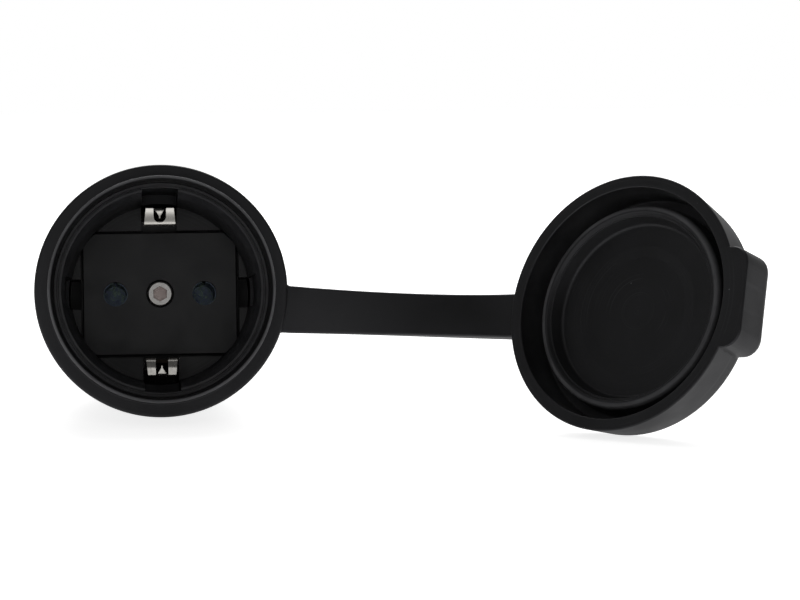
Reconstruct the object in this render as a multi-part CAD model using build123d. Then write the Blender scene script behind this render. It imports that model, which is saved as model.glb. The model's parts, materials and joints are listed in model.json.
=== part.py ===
from build123d import *
import math
import os

os.makedirs("parts", exist_ok=True)

# Frame of the coupler itself, in millimetres. The socket axis is Y and the shoulder plane is
# y = 0. The socket opens towards -Y, the cord leaves towards +Y, +X is the side of the strap.
# At the end every piece is laid down together, as the coupler rests on its side.

# Socket, set by the plug that it takes
PIN_PITCH = 19.0
PIN_LENGTH = 19.0
PIN_HOLE_R = 2.6
RECESS_DEPTH = 17.5
EARTH_CONTACT_GAP = 27.8

# Rubber housing
SHOULDER_R = 26.65
COLLAR_R = 23.7
COLLAR_BORE_R = 22.5
COLLAR_HEIGHT = 8.0
BAND_LENGTH = 16.0
EDGE_ROUND = 0.6
BAND_REAR_R = 25.6
WAIST_END_R = 21.3
NECK_R = 12.4
NECK_TAPER = 24.0
NECK_END_R = 14.36
NECK_END_LENGTH = 6.0
NECK_END_BEVEL = 1.2
NECK_FLARE_LENGTH = 2.0
HOUSING_LENGTH = 116.0
CORD_R = 5.2

# Insert
POT_R = 22.4
POT_RIM_SETBACK = 4.6
POT_MOUTH_R = 20.7
POT_WALL_R = 19.8
POT_FLOOR_R = 18.9
POT_FLOOR_THICKNESS = 2.2
FLOOR_STEP = 1.0
SIDE_PAD_HEIGHT = 0.6
KEYWAY_HEIGHT = 6.5
KEYWAY_INNER = 16.8
KEYWAY_OUTER = 20.2
NOSE_WIDTH = 33.0
NOSE_HEIGHT = 26.3
NOSE_CHAMFER = 2.6
NOSE_GAP = 0.4
CARRIER_R = 19.2
COVER_THICKNESS = 4.7

# Contacts
SLEEVE_BORE_R = 2.44
SLEEVE_WALL = 0.65
SLEEVE_DEPTH = 3.4
TERMINAL_SIZE = 7.2
TERMINAL_LENGTH = 6.8
EARTH_WIDTH = 7.2
EARTH_THICKNESS = 0.7
EARTH_ARM_Z = 16.35
EARTH_BEND_R = 1.2

# Cap and strap
CAP_R = 26.75
CAP_DRAFT = 1.6
CAP_BORE_R = 24.2
CAP_DEPTH = 11.5
CAP_WALL = 2.7
CAP_RING_R = 20.6
CAP_RING_BORE_R = 19.2
CAP_RING_SETBACK = 3.0
CAP_FLOOR_R = 17.5
CAP_FLOOR_DEPTH = 6.5
CAP_SEAT_GAP = 0.4
TAB_WIDTH = 20.6
TAB_REACH = 29.2
TAB_DEPTH = 9.6
TAB_ANGLE = -6.0
STRAP_THICKNESS = 2.5
STRAP_ROOT_WIDTH = 9.9
STRAP_WAIST_WIDTH = 8.9
STRAP_END_WIDTH = 9.3
STRAP_ANGLE = -3.75
STRAP_OFFSET = -2.5
STRAP_SETBACK = 0.8
LUG_REACH = 28.0
LUG_FLARE = 1.2

# Bend of the strap that carries the cap, as one hinge across the middle of the strap
HINGE_POINT = (52.7, -0.8, -5.3)
HINGE_AXIS = (0.0981, 0.1047, 0.9895)
OPEN_ANGLE = 137.2

# Clearances
FIT = 0.1
LOOSE = 0.3

POT_RIM_Y = POT_RIM_SETBACK - COLLAR_HEIGHT
PIN_FACE_Y = POT_RIM_Y + RECESS_DEPTH
FLOOR_Y = PIN_FACE_Y + FLOOR_STEP
POT_BACK_Y = FLOOR_Y + POT_FLOOR_THICKNESS
CARRIER_Y = POT_BACK_Y + FIT
SLEEVE_R = SLEEVE_BORE_R + SLEEVE_WALL
SLEEVE_Y = PIN_FACE_Y + SLEEVE_DEPTH
SLEEVE_END_WALL = 0.4
TERMINAL_Y = PIN_FACE_Y + PIN_LENGTH + FIT + SLEEVE_END_WALL
TERMINAL_BACK_Y = TERMINAL_Y + TERMINAL_LENGTH
CARRIER_BACK_Y = TERMINAL_BACK_Y + 1.1
COVER_BACK_Y = CARRIER_BACK_Y + COVER_THICKNESS
WAIST_END_Y = COVER_BACK_Y + 3.8
NECK_START_Y = WAIST_END_Y + NECK_TAPER


def outline(corners):
    """Closed face in the XY plane from (x, y, corner radius) triples."""
    points = [(x, y) for x, y, _ in corners]
    radii = [radius for _, _, radius in corners]
    return make_face(FilletPolyline(*points, radius=radii, close=True))


def turned(corners):
    """Body of revolution about the socket axis from (radius, y, corner radius) triples."""
    return revolve(outline(corners), Axis.Y)


def rod(radius, y_start, y_end, x=0.0, z=0.0):
    """Cylinder parallel to the socket axis."""
    middle = (y_start + y_end) / 2
    return Pos(x, middle, z) * Rot(90, 0, 0) * Cylinder(radius, y_end - y_start)


def block(x_range, y_range, z_range):
    """Box between two limits on each axis."""
    sizes = [high - low for low, high in (x_range, y_range, z_range)]
    middle = [(high + low) / 2 for low, high in (x_range, y_range, z_range)]
    return Pos(*middle) * Box(*sizes)


def prism(corners, y_start, y_end):
    """Outline drawn in (x, z), carried along the socket axis."""
    face = outline(corners)
    return Pos(0, y_start, 0) * Rot(90, 0, 0) * mirror(extrude(face, y_end - y_start), Plane.XY)


def side_strip(points, radii, thickness, half_width):
    """Bent strip: its centre line in (y, z), its width along X."""
    line = FilletPolyline(*points, radius=radii)
    face = trace(line, thickness)
    return Pos(-half_width, 0, 0) * Rot(0, 90, 0) * Rot(0, 0, 90) * extrude(face, 2 * half_width)


# Rubber housing: one moulding with the collar, the grip and the cord neck.
# The strap lug stands on the band, and its end is where the strap begins.
CHAMBER_R = CARRIER_R + LOOSE
CLAMP_ROOM = 13.0
CLAMP_END_Y = COVER_BACK_Y + CLAMP_ROOM
CLAMP_END_R = 14.8
CHAMBER_TAPER = 12.0
NECK_BORE_Y = CLAMP_END_Y + CHAMBER_TAPER
BAND_STEP = 1.3
BAND_SLOPE = 1.2
SNAP_RING_R = POT_R + 0.6
SNAP_RING_Y = 7.0
SNAP_RING_WIDTH = 2.0
SLIT_COUNT = 5
SLIT_PITCH = 5.2
SLIT_WIDTH = 1.6
SLIT_DEPTH = 1.8
SLIT_BRIDGE = 2.2
LAST_SLIT_Y = HOUSING_LENGTH - 11.5
RIB_COUNT = 24
RIB_WIDTH = 1.6
RIB_PROUD = 0.6

housing = turned([
    (COLLAR_BORE_R, POT_RIM_Y - 3.0, 0),
    (COLLAR_R - 0.45, -COLLAR_HEIGHT, 0),
    (COLLAR_R - 0.2, -COLLAR_HEIGHT, 0),
    (COLLAR_R, -COLLAR_HEIGHT + 0.2, 0),
    (COLLAR_R, 0, 0),
    (SHOULDER_R, 0, EDGE_ROUND),
    (BAND_REAR_R, BAND_LENGTH, 0),
    (BAND_REAR_R - BAND_STEP, BAND_LENGTH + BAND_SLOPE, 0),
    (WAIST_END_R, WAIST_END_Y, 12.0),
    (NECK_R + 0.8, NECK_START_Y, 14.0),
    (NECK_R, HOUSING_LENGTH - NECK_END_LENGTH - NECK_FLARE_LENGTH, 0),
    (NECK_END_R, HOUSING_LENGTH - NECK_END_LENGTH, 0),
    (NECK_END_R, HOUSING_LENGTH - NECK_END_BEVEL, 0),
    (NECK_END_R - NECK_END_BEVEL, HOUSING_LENGTH, 0),
    (CORD_R, HOUSING_LENGTH, 0),
    (CORD_R, NECK_BORE_Y, 0),
    (CLAMP_END_R, CLAMP_END_Y, 0),
    (CHAMBER_R, COVER_BACK_Y + 0.5, 0),
    (CHAMBER_R, POT_BACK_Y + FIT, 0),
    (POT_R + FIT, POT_BACK_Y + FIT, 0),
    (POT_R + FIT, SNAP_RING_Y + SNAP_RING_WIDTH + FIT, 0),
    (SNAP_RING_R + FIT, SNAP_RING_Y + SNAP_RING_WIDTH + FIT, 0),
    (SNAP_RING_R + FIT, SNAP_RING_Y - FIT, 0),
    (COLLAR_BORE_R, SNAP_RING_Y - FIT, 0),
])


def waist_radius(y):
    """Outer radius of the waist at a distance behind the shoulder."""
    start_r = BAND_REAR_R - BAND_STEP
    start_y = BAND_LENGTH + BAND_SLOPE
    share = (y - start_y) / (WAIST_END_Y - start_y)
    return start_r + share * (WAIST_END_R - start_r)


# Grip ribs run along the waist and sink into it at both ends
RIB_START_Y = BAND_LENGTH + BAND_SLOPE + 2.3
RIB_END_Y = WAIST_END_Y - 2.0
rib_side = outline([
    (waist_radius(RIB_START_Y) - 1.0, RIB_START_Y, 0),
    (waist_radius(RIB_START_Y) + RIB_PROUD, RIB_START_Y + 1.0, 0),
    (waist_radius(RIB_END_Y) + RIB_PROUD, RIB_END_Y - 1.0, 0),
    (waist_radius(RIB_END_Y) - 1.0, RIB_END_Y, 0),
])
rib = extrude(rib_side, RIB_WIDTH / 2, both=True)
for index in range(RIB_COUNT):
    turn = (index + 0.5) * 360 / RIB_COUNT
    housing += Rot(0, turn, 0) * rib

# Bend slits round the neck, staggered in pairs so that the neck stays whole
slit_ring = turned([
    (NECK_R - SLIT_DEPTH, -SLIT_WIDTH / 2, 0),
    (NECK_R + 2.0, -SLIT_WIDTH / 2, 0),
    (NECK_R + 2.0, SLIT_WIDTH / 2, 0),
    (NECK_R - SLIT_DEPTH, SLIT_WIDTH / 2, 0),
])
slit_bridge = block((-SLIT_BRIDGE, SLIT_BRIDGE), (-SLIT_WIDTH, SLIT_WIDTH), (-NECK_R - 3, NECK_R + 3))
slit = slit_ring - slit_bridge
for index in range(SLIT_COUNT):
    slit_y = LAST_SLIT_Y - index * SLIT_PITCH
    housing -= Pos(0, slit_y, 0) * Rot(0, 90 * (index % 2), 0) * slit


def lug(start_r, rim_r, width, y_range):
    """Strap lug that flares into a round rim and ends in a flat face. The strap runs a little
    beside the axis."""
    low, high = STRAP_OFFSET - width / 2, STRAP_OFFSET + width / 2
    low_foot = math.sqrt(rim_r ** 2 - (low - LUG_FLARE) ** 2)
    high_foot = math.sqrt(rim_r ** 2 - (high + LUG_FLARE) ** 2)
    bar = prism([
        (start_r, low - LUG_FLARE, 0),
        (low_foot, low - LUG_FLARE, 0),
        (low_foot, low, LUG_FLARE - FIT),
        (LUG_REACH, low, 0),
        (LUG_REACH, high, 0),
        (high_foot, high, LUG_FLARE - FIT),
        (high_foot, high + LUG_FLARE, 0),
        (start_r, high + LUG_FLARE, 0),
    ], *y_range)
    return Rot(0, -STRAP_ANGLE, 0) * bar


root_y = STRAP_SETBACK
housing += lug(POT_R + 2.0, SHOULDER_R, STRAP_ROOT_WIDTH, (root_y, root_y + STRAP_THICKNESS))


# Pot of the insert: recess wall, floor with its window, side pads, keyways and earth channels
WINDOW_X = NOSE_WIDTH / 2 + NOSE_GAP
WINDOW_Z = NOSE_HEIGHT / 2 + NOSE_GAP
EARTH_SLOT_X = EARTH_WIDTH / 2 + 0.2
EARTH_CHANNEL_R = 21.5
RIM_GROOVE_R = 21.6

insert_pot = turned([
    (0, FLOOR_Y, 0),
    (POT_FLOOR_R, FLOOR_Y, 0),
    (POT_WALL_R, POT_RIM_Y + 2.6, 0),
    (POT_MOUTH_R, POT_RIM_Y + 0.5, 0),
    (POT_MOUTH_R + 0.2, POT_RIM_Y, 0),
    (RIM_GROOVE_R - 0.2, POT_RIM_Y, 0),
    (RIM_GROOVE_R - 0.1, POT_RIM_Y + 0.5, 0),
    (RIM_GROOVE_R + 0.2, POT_RIM_Y + 0.5, 0),
    (RIM_GROOVE_R + 0.3, POT_RIM_Y - 0.4, 0),
    (POT_R, POT_RIM_Y - 0.4, 0),
    (POT_R, SNAP_RING_Y, 0),
    (SNAP_RING_R, SNAP_RING_Y + 0.3, 0),
    (SNAP_RING_R, SNAP_RING_Y + SNAP_RING_WIDTH, 0),
    (POT_R, SNAP_RING_Y + SNAP_RING_WIDTH, 0),
    (POT_R, POT_BACK_Y, 0),
    (0, POT_BACK_Y, 0),
])
pad_y = PIN_FACE_Y - SIDE_PAD_HEIGHT
for side in (-1, 1):
    pad_disc = rod(POT_FLOOR_R + 0.3, pad_y, FLOOR_Y + 0.2)
    pad_limit = block((WINDOW_X, POT_R), (pad_y, FLOOR_Y + 0.2), (-WINDOW_Z + 2.2, WINDOW_Z - 2.2))
    insert_pot += pad_disc & Rot(0, 90 - 90 * side, 0) * pad_limit

window = prism([
    (-WINDOW_X, -WINDOW_Z + NOSE_CHAMFER, 0),
    (-WINDOW_X + NOSE_CHAMFER, -WINDOW_Z, 0),
    (WINDOW_X - NOSE_CHAMFER, -WINDOW_Z, 0),
    (WINDOW_X, -WINDOW_Z + NOSE_CHAMFER, 0),
    (WINDOW_X, WINDOW_Z - NOSE_CHAMFER, 0),
    (WINDOW_X - NOSE_CHAMFER, WINDOW_Z, 0),
    (-WINDOW_X + NOSE_CHAMFER, WINDOW_Z, 0),
    (-WINDOW_X, WINDOW_Z - NOSE_CHAMFER, 0),
], pad_y - 1, POT_BACK_Y + 1)
insert_pot -= window

keyway_disc = rod(KEYWAY_OUTER, POT_RIM_Y, POT_BACK_Y + 1)
channel_disc = rod(EARTH_CHANNEL_R, POT_RIM_Y - 1, POT_BACK_Y + 1)
for side in (-1, 1):
    keyway = block((KEYWAY_INNER, POT_R), (POT_RIM_Y, POT_BACK_Y + 1),
                   (-KEYWAY_HEIGHT / 2, KEYWAY_HEIGHT / 2))
    channel = block((-EARTH_SLOT_X, EARTH_SLOT_X), (POT_RIM_Y - 1, POT_BACK_Y + 1), (WINDOW_Z - 0.5, POT_R))
    insert_pot -= keyway_disc & Rot(0, 90 - 90 * side, 0) * keyway
    insert_pot -= channel_disc & Rot(0, 90 - 90 * side, 0) * channel


# Contact carrier: its nose fills the window and carries the pin holes and the screw seat.
# Behind the pot's floor a round flange holds the sleeves, the terminals and the earth arms.
SCREW_HEAD_R = 2.7
SCREW_SHANK_R = 1.5
SCREW_HEAD_HEIGHT = 2.6
SCREW_RECESS = 0.3
SLEEVE_CHAMBER_R = SLEEVE_R + 0.9
TERMINAL_HALF = TERMINAL_SIZE / 2
BRIDGE_Y = CARRIER_BACK_Y - EARTH_THICKNESS / 2 - 0.1
EARTH_SCREW_Z = 8.8
EARTH_SCREW_R = 1.7
NUT_SIZE = 6.0
NUT_THICKNESS = 2.4

nose = prism([
    (-NOSE_WIDTH / 2, -NOSE_HEIGHT / 2 + NOSE_CHAMFER, 0),
    (-NOSE_WIDTH / 2 + NOSE_CHAMFER, -NOSE_HEIGHT / 2, 0),
    (NOSE_WIDTH / 2 - NOSE_CHAMFER, -NOSE_HEIGHT / 2, 0),
    (NOSE_WIDTH / 2, -NOSE_HEIGHT / 2 + NOSE_CHAMFER, 0),
    (NOSE_WIDTH / 2, NOSE_HEIGHT / 2 - NOSE_CHAMFER, 0),
    (NOSE_WIDTH / 2 - NOSE_CHAMFER, NOSE_HEIGHT / 2, 0),
    (-NOSE_WIDTH / 2 + NOSE_CHAMFER, NOSE_HEIGHT / 2, 0),
    (-NOSE_WIDTH / 2, NOSE_HEIGHT / 2 - NOSE_CHAMFER, 0),
], PIN_FACE_Y, CARRIER_Y)
nose = chamfer(nose.faces().sort_by(Axis.Y)[0].edges(), 0.25)
contact_carrier = nose + rod(CARRIER_R, CARRIER_Y, CARRIER_BACK_Y)

for side in (-1, 1):
    x = side * PIN_PITCH / 2
    contact_carrier -= rod(PIN_HOLE_R, PIN_FACE_Y - 1, SLEEVE_Y, x)
    contact_carrier -= rod(SLEEVE_CHAMBER_R, SLEEVE_Y - 0.2, TERMINAL_Y + 0.1, x)
    contact_carrier -= block((x - TERMINAL_HALF - FIT, x + TERMINAL_HALF + FIT),
                             (TERMINAL_Y - FIT, CARRIER_BACK_Y + 1), (-TERMINAL_HALF - FIT, CARRIER_R))
    keyway_end = block((KEYWAY_INNER, CARRIER_R + 1), (CARRIER_Y - 1, CARRIER_Y + 5.0),
                       (-KEYWAY_HEIGHT / 2, KEYWAY_HEIGHT / 2))
    contact_carrier -= Rot(0, 90 - 90 * side, 0) * keyway_end
    arm_groove = block((-EARTH_SLOT_X, EARTH_SLOT_X), (PIN_FACE_Y + 0.5, CARRIER_BACK_Y + 1),
                       (EARTH_ARM_Z - EARTH_THICKNESS / 2 - 0.3, CARRIER_R + 1))
    contact_carrier -= Rot(0, 90 - 90 * side, 0) * arm_groove
    bend_relief = block((-EARTH_SLOT_X, EARTH_SLOT_X), (BRIDGE_Y - EARTH_BEND_R, CARRIER_BACK_Y + 1),
                        (EARTH_ARM_Z - EARTH_BEND_R, CARRIER_R + 1))
    contact_carrier -= Rot(0, 90 - 90 * side, 0) * bend_relief

contact_carrier -= rod(SCREW_HEAD_R + LOOSE, PIN_FACE_Y - 1, PIN_FACE_Y + SCREW_RECESS + SCREW_HEAD_HEIGHT)
contact_carrier -= rod(SCREW_SHANK_R + 0.15, PIN_FACE_Y, CARRIER_BACK_Y + 1)
contact_carrier -= block((-EARTH_SLOT_X, EARTH_SLOT_X),
                         (BRIDGE_Y - EARTH_THICKNESS / 2, CARRIER_BACK_Y + 1),
                         (-CARRIER_R, CARRIER_R))
NUT_SEAT_HALF = NUT_SIZE / 2 + FIT
earth_nut_y = BRIDGE_Y - EARTH_THICKNESS / 2 - NUT_THICKNESS
contact_carrier -= block((-NUT_SEAT_HALF, NUT_SEAT_HALF), (earth_nut_y - FIT, CARRIER_BACK_Y),
                         (EARTH_SCREW_Z - NUT_SEAT_HALF, EARTH_SCREW_Z + NUT_SEAT_HALF))
contact_carrier -= rod(EARTH_SCREW_R + 0.2, earth_nut_y - 3.0, CARRIER_BACK_Y, 0, EARTH_SCREW_Z)


# Rear cover: closes the terminal chambers and carries the bed of the cord clamp
WIRE_HOLE_R = 2.6
CLAMP_HALF_WIDTH = 12.0
CLAMP_SCREW_X = 8.9
CLAMP_Y = COVER_BACK_Y + 4.0
CLAMP_LENGTH = 5.6
CLAMP_BED_Z = -7.5
CLAMP_BED_LIP = 1.5
CLAMP_TOP_Z = 7.2
CLAMP_SPLIT = 0.5
SADDLE_GAP_Z = -3.4
EARTH_WINDOW = 4.3

rear_cover = rod(CARRIER_R - FIT, CARRIER_BACK_Y + 0.05, COVER_BACK_Y)
bed = block((-CLAMP_HALF_WIDTH, CLAMP_HALF_WIDTH),
            (COVER_BACK_Y - 0.5, CLAMP_Y + CLAMP_LENGTH + CLAMP_BED_LIP),
            (CLAMP_BED_Z, -CLAMP_SPLIT))
bed = chamfer(bed.edges().filter_by(Axis.Y).group_by(Axis.Z)[0], 2.5)
rear_cover += bed
rear_cover -= block((-CLAMP_HALF_WIDTH - 1, CLAMP_HALF_WIDTH + 1),
                    (COVER_BACK_Y, CLAMP_Y - 0.7), (SADDLE_GAP_Z, 1))
rear_cover -= rod(CORD_R, COVER_BACK_Y, CLAMP_Y + CLAMP_LENGTH + 2)
for side in (-1, 1):
    rear_cover -= rod(WIRE_HOLE_R, CARRIER_BACK_Y - 1, COVER_BACK_Y + 0.1, side * PIN_PITCH / 2)
    clamp_hole = Pos(side * CLAMP_SCREW_X, CLAMP_Y + CLAMP_LENGTH / 2, 0)
    rear_cover -= clamp_hole * Cylinder(SCREW_SHANK_R + 0.05, -2 * (CLAMP_BED_Z + 0.8))
rear_cover -= block((-EARTH_WINDOW, EARTH_WINDOW), (CARRIER_BACK_Y - 1, COVER_BACK_Y + 0.1),
                    (EARTH_SCREW_Z - EARTH_WINDOW, EARTH_SCREW_Z + EARTH_WINDOW))
rear_cover -= rod(SCREW_SHANK_R + 0.15, CARRIER_BACK_Y - 1, COVER_BACK_Y + 1)
rear_cover -= block((-NUT_SEAT_HALF, NUT_SEAT_HALF),
                    (COVER_BACK_Y - NUT_THICKNESS - FIT, COVER_BACK_Y + 0.1),
                    (-NUT_SEAT_HALF, NUT_SEAT_HALF))


# Line contacts: a slit sleeve with its screw terminal, held closed by a sprung ring
WIRE_R = 1.7
SPRING_WALL = 0.5
SPRING_LENGTH = 4.0
SPRING_GAP = 0.7
SLIT = 0.8
SCREW_LIFT = 0.02


def line_contact(x):
    """Sleeve and terminal block from one piece of brass."""
    sleeve = rod(SLEEVE_R, SLEEVE_Y, TERMINAL_Y + 0.5, x)
    sleeve = chamfer(sleeve.edges().filter_by(GeomType.CIRCLE).sort_by(Axis.Y)[0], 0.25)
    body = block((x - TERMINAL_HALF, x + TERMINAL_HALF), (TERMINAL_Y, TERMINAL_BACK_Y),
                 (-TERMINAL_HALF, TERMINAL_HALF))
    body = sleeve + chamfer(body.edges().filter_by(Axis.Y), 0.4)
    body -= rod(SLEEVE_BORE_R, SLEEVE_Y - 1, TERMINAL_Y - SLEEVE_END_WALL, x)
    body -= block((x - SLIT / 2, x + SLIT / 2), (SLEEVE_Y - 1, TERMINAL_Y - 1.4),
                  (-TERMINAL_HALF, TERMINAL_HALF))
    body -= rod(WIRE_R, TERMINAL_Y + 1.2, TERMINAL_BACK_Y + 1, x)
    screw_hole = Pos(x, TERMINAL_Y + TERMINAL_LENGTH / 2, TERMINAL_HALF / 2 + 1)
    return body - screw_hole * Cylinder(SCREW_SHANK_R + 0.05, TERMINAL_HALF + 2)


def sleeve_spring(x):
    """Split steel ring round the sleeve."""
    inner_r = SLEEVE_R + 0.05
    ring_y = SLEEVE_Y + 1.6
    ring = rod(inner_r + SPRING_WALL, ring_y, ring_y + SPRING_LENGTH, x)
    ring -= rod(inner_r, ring_y - 1, ring_y + SPRING_LENGTH + 1, x)
    return ring - block((x, x + 5), (ring_y - 1, ring_y + SPRING_LENGTH + 1), (-SPRING_GAP, SPRING_GAP))


def slotted_screw(shank_r, shank_length, head_r, head_height, slot_width):
    """Cheese-head screw along +Z, its head resting on z = 0."""
    head = Pos(0, 0, head_height / 2) * Cylinder(head_r, head_height)
    head = chamfer(head.edges().filter_by(GeomType.CIRCLE).sort_by(Axis.Z)[-1], 0.3)
    head -= Pos(0, 0, head_height) * Box(3 * head_r, slot_width, head_height)
    return head + Pos(0, 0, -shank_length / 2) * Cylinder(shank_r, shank_length)


sides = {"left": -1, "right": 1}
line_contacts = {name: line_contact(side * PIN_PITCH / 2) for name, side in sides.items()}
sleeve_springs = {name: sleeve_spring(side * PIN_PITCH / 2) for name, side in sides.items()}
line_screw = slotted_screw(SCREW_SHANK_R, TERMINAL_HALF - 0.2, 2.5, 1.9, 0.8)
line_screw_y = TERMINAL_Y + TERMINAL_LENGTH / 2
line_screws = {
    name: Pos(side * PIN_PITCH / 2, line_screw_y, TERMINAL_HALF + SCREW_LIFT) * line_screw
    for name, side in sides.items()
}


# Earth strap: one sprung stamping from clip to clip, across the back of the carrier.
# Each clip bends in to the contact crest and flares out into two legs round a pointed tongue.
CREST_Z = EARTH_CONTACT_GAP / 2 + EARTH_THICKNESS / 2
CREST_Y = POT_RIM_Y + 9.2
TIP_Z = 17.5
TIP_Y = CREST_Y - 4.2
KNEE_Y = CREST_Y + 6.8
LEG_SLOT = 2.6
EARTH_TIP_WIDTH = 6.5

half_points = [(TIP_Y, TIP_Z), (CREST_Y, CREST_Z), (KNEE_Y, EARTH_ARM_Z), (BRIDGE_Y, EARTH_ARM_Z)]
strip_points = half_points + [(y, -z) for y, z in reversed(half_points)]
strip_radii = [1.1, 2.5, EARTH_BEND_R, EARTH_BEND_R, 2.5, 1.1]
earth_strap = side_strip(strip_points, strip_radii, EARTH_THICKNESS, EARTH_WIDTH / 2)

leg_cut = extrude(outline([
    (-LEG_SLOT / 2, CREST_Z + 0.7, 1.2),
    (LEG_SLOT / 2, CREST_Z + 0.7, 1.2),
    (LEG_SLOT / 2, TIP_Z + 3, 0),
    (-LEG_SLOT / 2, TIP_Z + 3, 0),
]), CREST_Y - 0.6 - TIP_Y + 3)
side_cut = extrude(outline([
    (EARTH_TIP_WIDTH / 2, TIP_Z + 1, 0),
    (EARTH_WIDTH / 2, CREST_Z, 0),
    (EARTH_WIDTH / 2 + 1, CREST_Z, 0),
    (EARTH_WIDTH / 2 + 1, TIP_Z + 1, 0),
]), CREST_Y - TIP_Y + 3)
tongue_line = [(KNEE_Y - 2.6, CREST_Z + 1.4), (CREST_Y + 1.6, CREST_Z + 1.3), (TIP_Y + 1.5, TIP_Z + 0.2)]
tongue = side_strip(tongue_line, [1.0], 0.5, LEG_SLOT / 2)
tongue_shape = extrude(outline([
    (-0.45, CREST_Z - 1.5, 0),
    (0.45, CREST_Z - 1.5, 0),
    (0.45, CREST_Z + 1.2, 0),
    (1.1, TIP_Z + 1, 0),
    (-1.1, TIP_Z + 1, 0),
    (-0.45, CREST_Z + 1.2, 0),
]), KNEE_Y - TIP_Y + 6)


def face_on(shape, front_y):
    """Shape drawn in (x, z) and carried towards +Y from front_y."""
    return Pos(0, front_y, 0) * Rot(-90, 0, 0) * mirror(shape, Plane.XZ)


tongue = tongue & face_on(tongue_shape, TIP_Y - 3)
for turn in (0, 180):
    place = Rot(0, turn, 0)
    earth_strap -= place * face_on(leg_cut, TIP_Y - 3)
    earth_strap -= place * face_on(side_cut, TIP_Y - 3)
    earth_strap -= place * mirror(face_on(side_cut, TIP_Y - 3), Plane.YZ)
    earth_strap += place * tongue
earth_strap -= rod(SCREW_SHANK_R + LOOSE, BRIDGE_Y - 2, BRIDGE_Y + 2)
earth_strap -= rod(EARTH_SCREW_R + 0.2, BRIDGE_Y - 2, BRIDGE_Y + 2, 0, EARTH_SCREW_Z)

WASHER_HALF = 3.5
WASHER_THICKNESS = 1.0
earth_nut = block((-NUT_SIZE / 2, NUT_SIZE / 2), (earth_nut_y, earth_nut_y + NUT_THICKNESS),
                  (EARTH_SCREW_Z - NUT_SIZE / 2, EARTH_SCREW_Z + NUT_SIZE / 2))
earth_nut -= rod(EARTH_SCREW_R + 0.05, earth_nut_y - 1, earth_nut_y + NUT_THICKNESS + 1, 0, EARTH_SCREW_Z)
washer_y = BRIDGE_Y + EARTH_THICKNESS / 2
earth_washer = block((-WASHER_HALF, WASHER_HALF), (washer_y, washer_y + WASHER_THICKNESS),
                     (EARTH_SCREW_Z - WASHER_HALF, EARTH_SCREW_Z + WASHER_HALF))
earth_washer = fillet(earth_washer.edges().filter_by(Axis.Y), 0.8)
earth_washer -= rod(EARTH_SCREW_R + 0.2, washer_y - 1, washer_y + 2, 0, EARTH_SCREW_Z)
earth_screw = slotted_screw(EARTH_SCREW_R, 6.0, 3.2, 2.1, 0.9)
earth_screw = Pos(0, washer_y + WASHER_THICKNESS, EARTH_SCREW_Z) * Rot(-90, 0, 0) * earth_screw


# Centre screw with a hexagon socket, and the square nut that it pulls on
HEX_ACROSS_FLATS = 2.9
HEX_DEPTH = 1.9
head_y = PIN_FACE_Y + SCREW_RECESS
centre_head = rod(SCREW_HEAD_R, head_y, head_y + SCREW_HEAD_HEIGHT - 0.05)
centre_head = chamfer(centre_head.edges().filter_by(GeomType.CIRCLE).sort_by(Axis.Y)[0], 0.3)
hex_socket = extrude(RegularPolygon(HEX_ACROSS_FLATS / 2, 6, major_radius=False, rotation=30), HEX_DEPTH + 1)
centre_screw = centre_head - Pos(0, head_y - 1, 0) * Rot(-90, 0, 0) * hex_socket
centre_screw += rod(SCREW_SHANK_R, head_y + SCREW_HEAD_HEIGHT - 0.1, COVER_BACK_Y + 1.0)

centre_nut = block((-NUT_SIZE / 2, NUT_SIZE / 2), (COVER_BACK_Y - NUT_THICKNESS, COVER_BACK_Y),
                   (-NUT_SIZE / 2, NUT_SIZE / 2))
centre_nut -= rod(SCREW_SHANK_R + 0.05, COVER_BACK_Y - NUT_THICKNESS - 1, COVER_BACK_Y + 1)


# Cord clamp: a saddle across the cord, drawn down by two screws
clamp_bar = block((-CLAMP_HALF_WIDTH, CLAMP_HALF_WIDTH), (CLAMP_Y, CLAMP_Y + CLAMP_LENGTH),
                  (CLAMP_SPLIT, CLAMP_TOP_Z))
clamp_bar = chamfer(clamp_bar.edges().filter_by(Axis.Y).group_by(Axis.Z)[-1], 1.0)
clamp_bar -= rod(CORD_R, CLAMP_Y - 1, CLAMP_Y + CLAMP_LENGTH + 1)
clamp_screw = slotted_screw(SCREW_SHANK_R, CLAMP_TOP_Z - CLAMP_BED_Z - 1.6, 2.6, 1.9, 0.8)
clamp_screws = {}
for name, side in sides.items():
    hole = Pos(side * CLAMP_SCREW_X, CLAMP_Y + CLAMP_LENGTH / 2, CLAMP_TOP_Z)
    clamp_bar -= hole * Cylinder(SCREW_SHANK_R + FIT, 3 * CLAMP_TOP_Z)
    clamp_screws[name] = hole * Pos(0, 0, SCREW_LIFT) * clamp_screw


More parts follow.
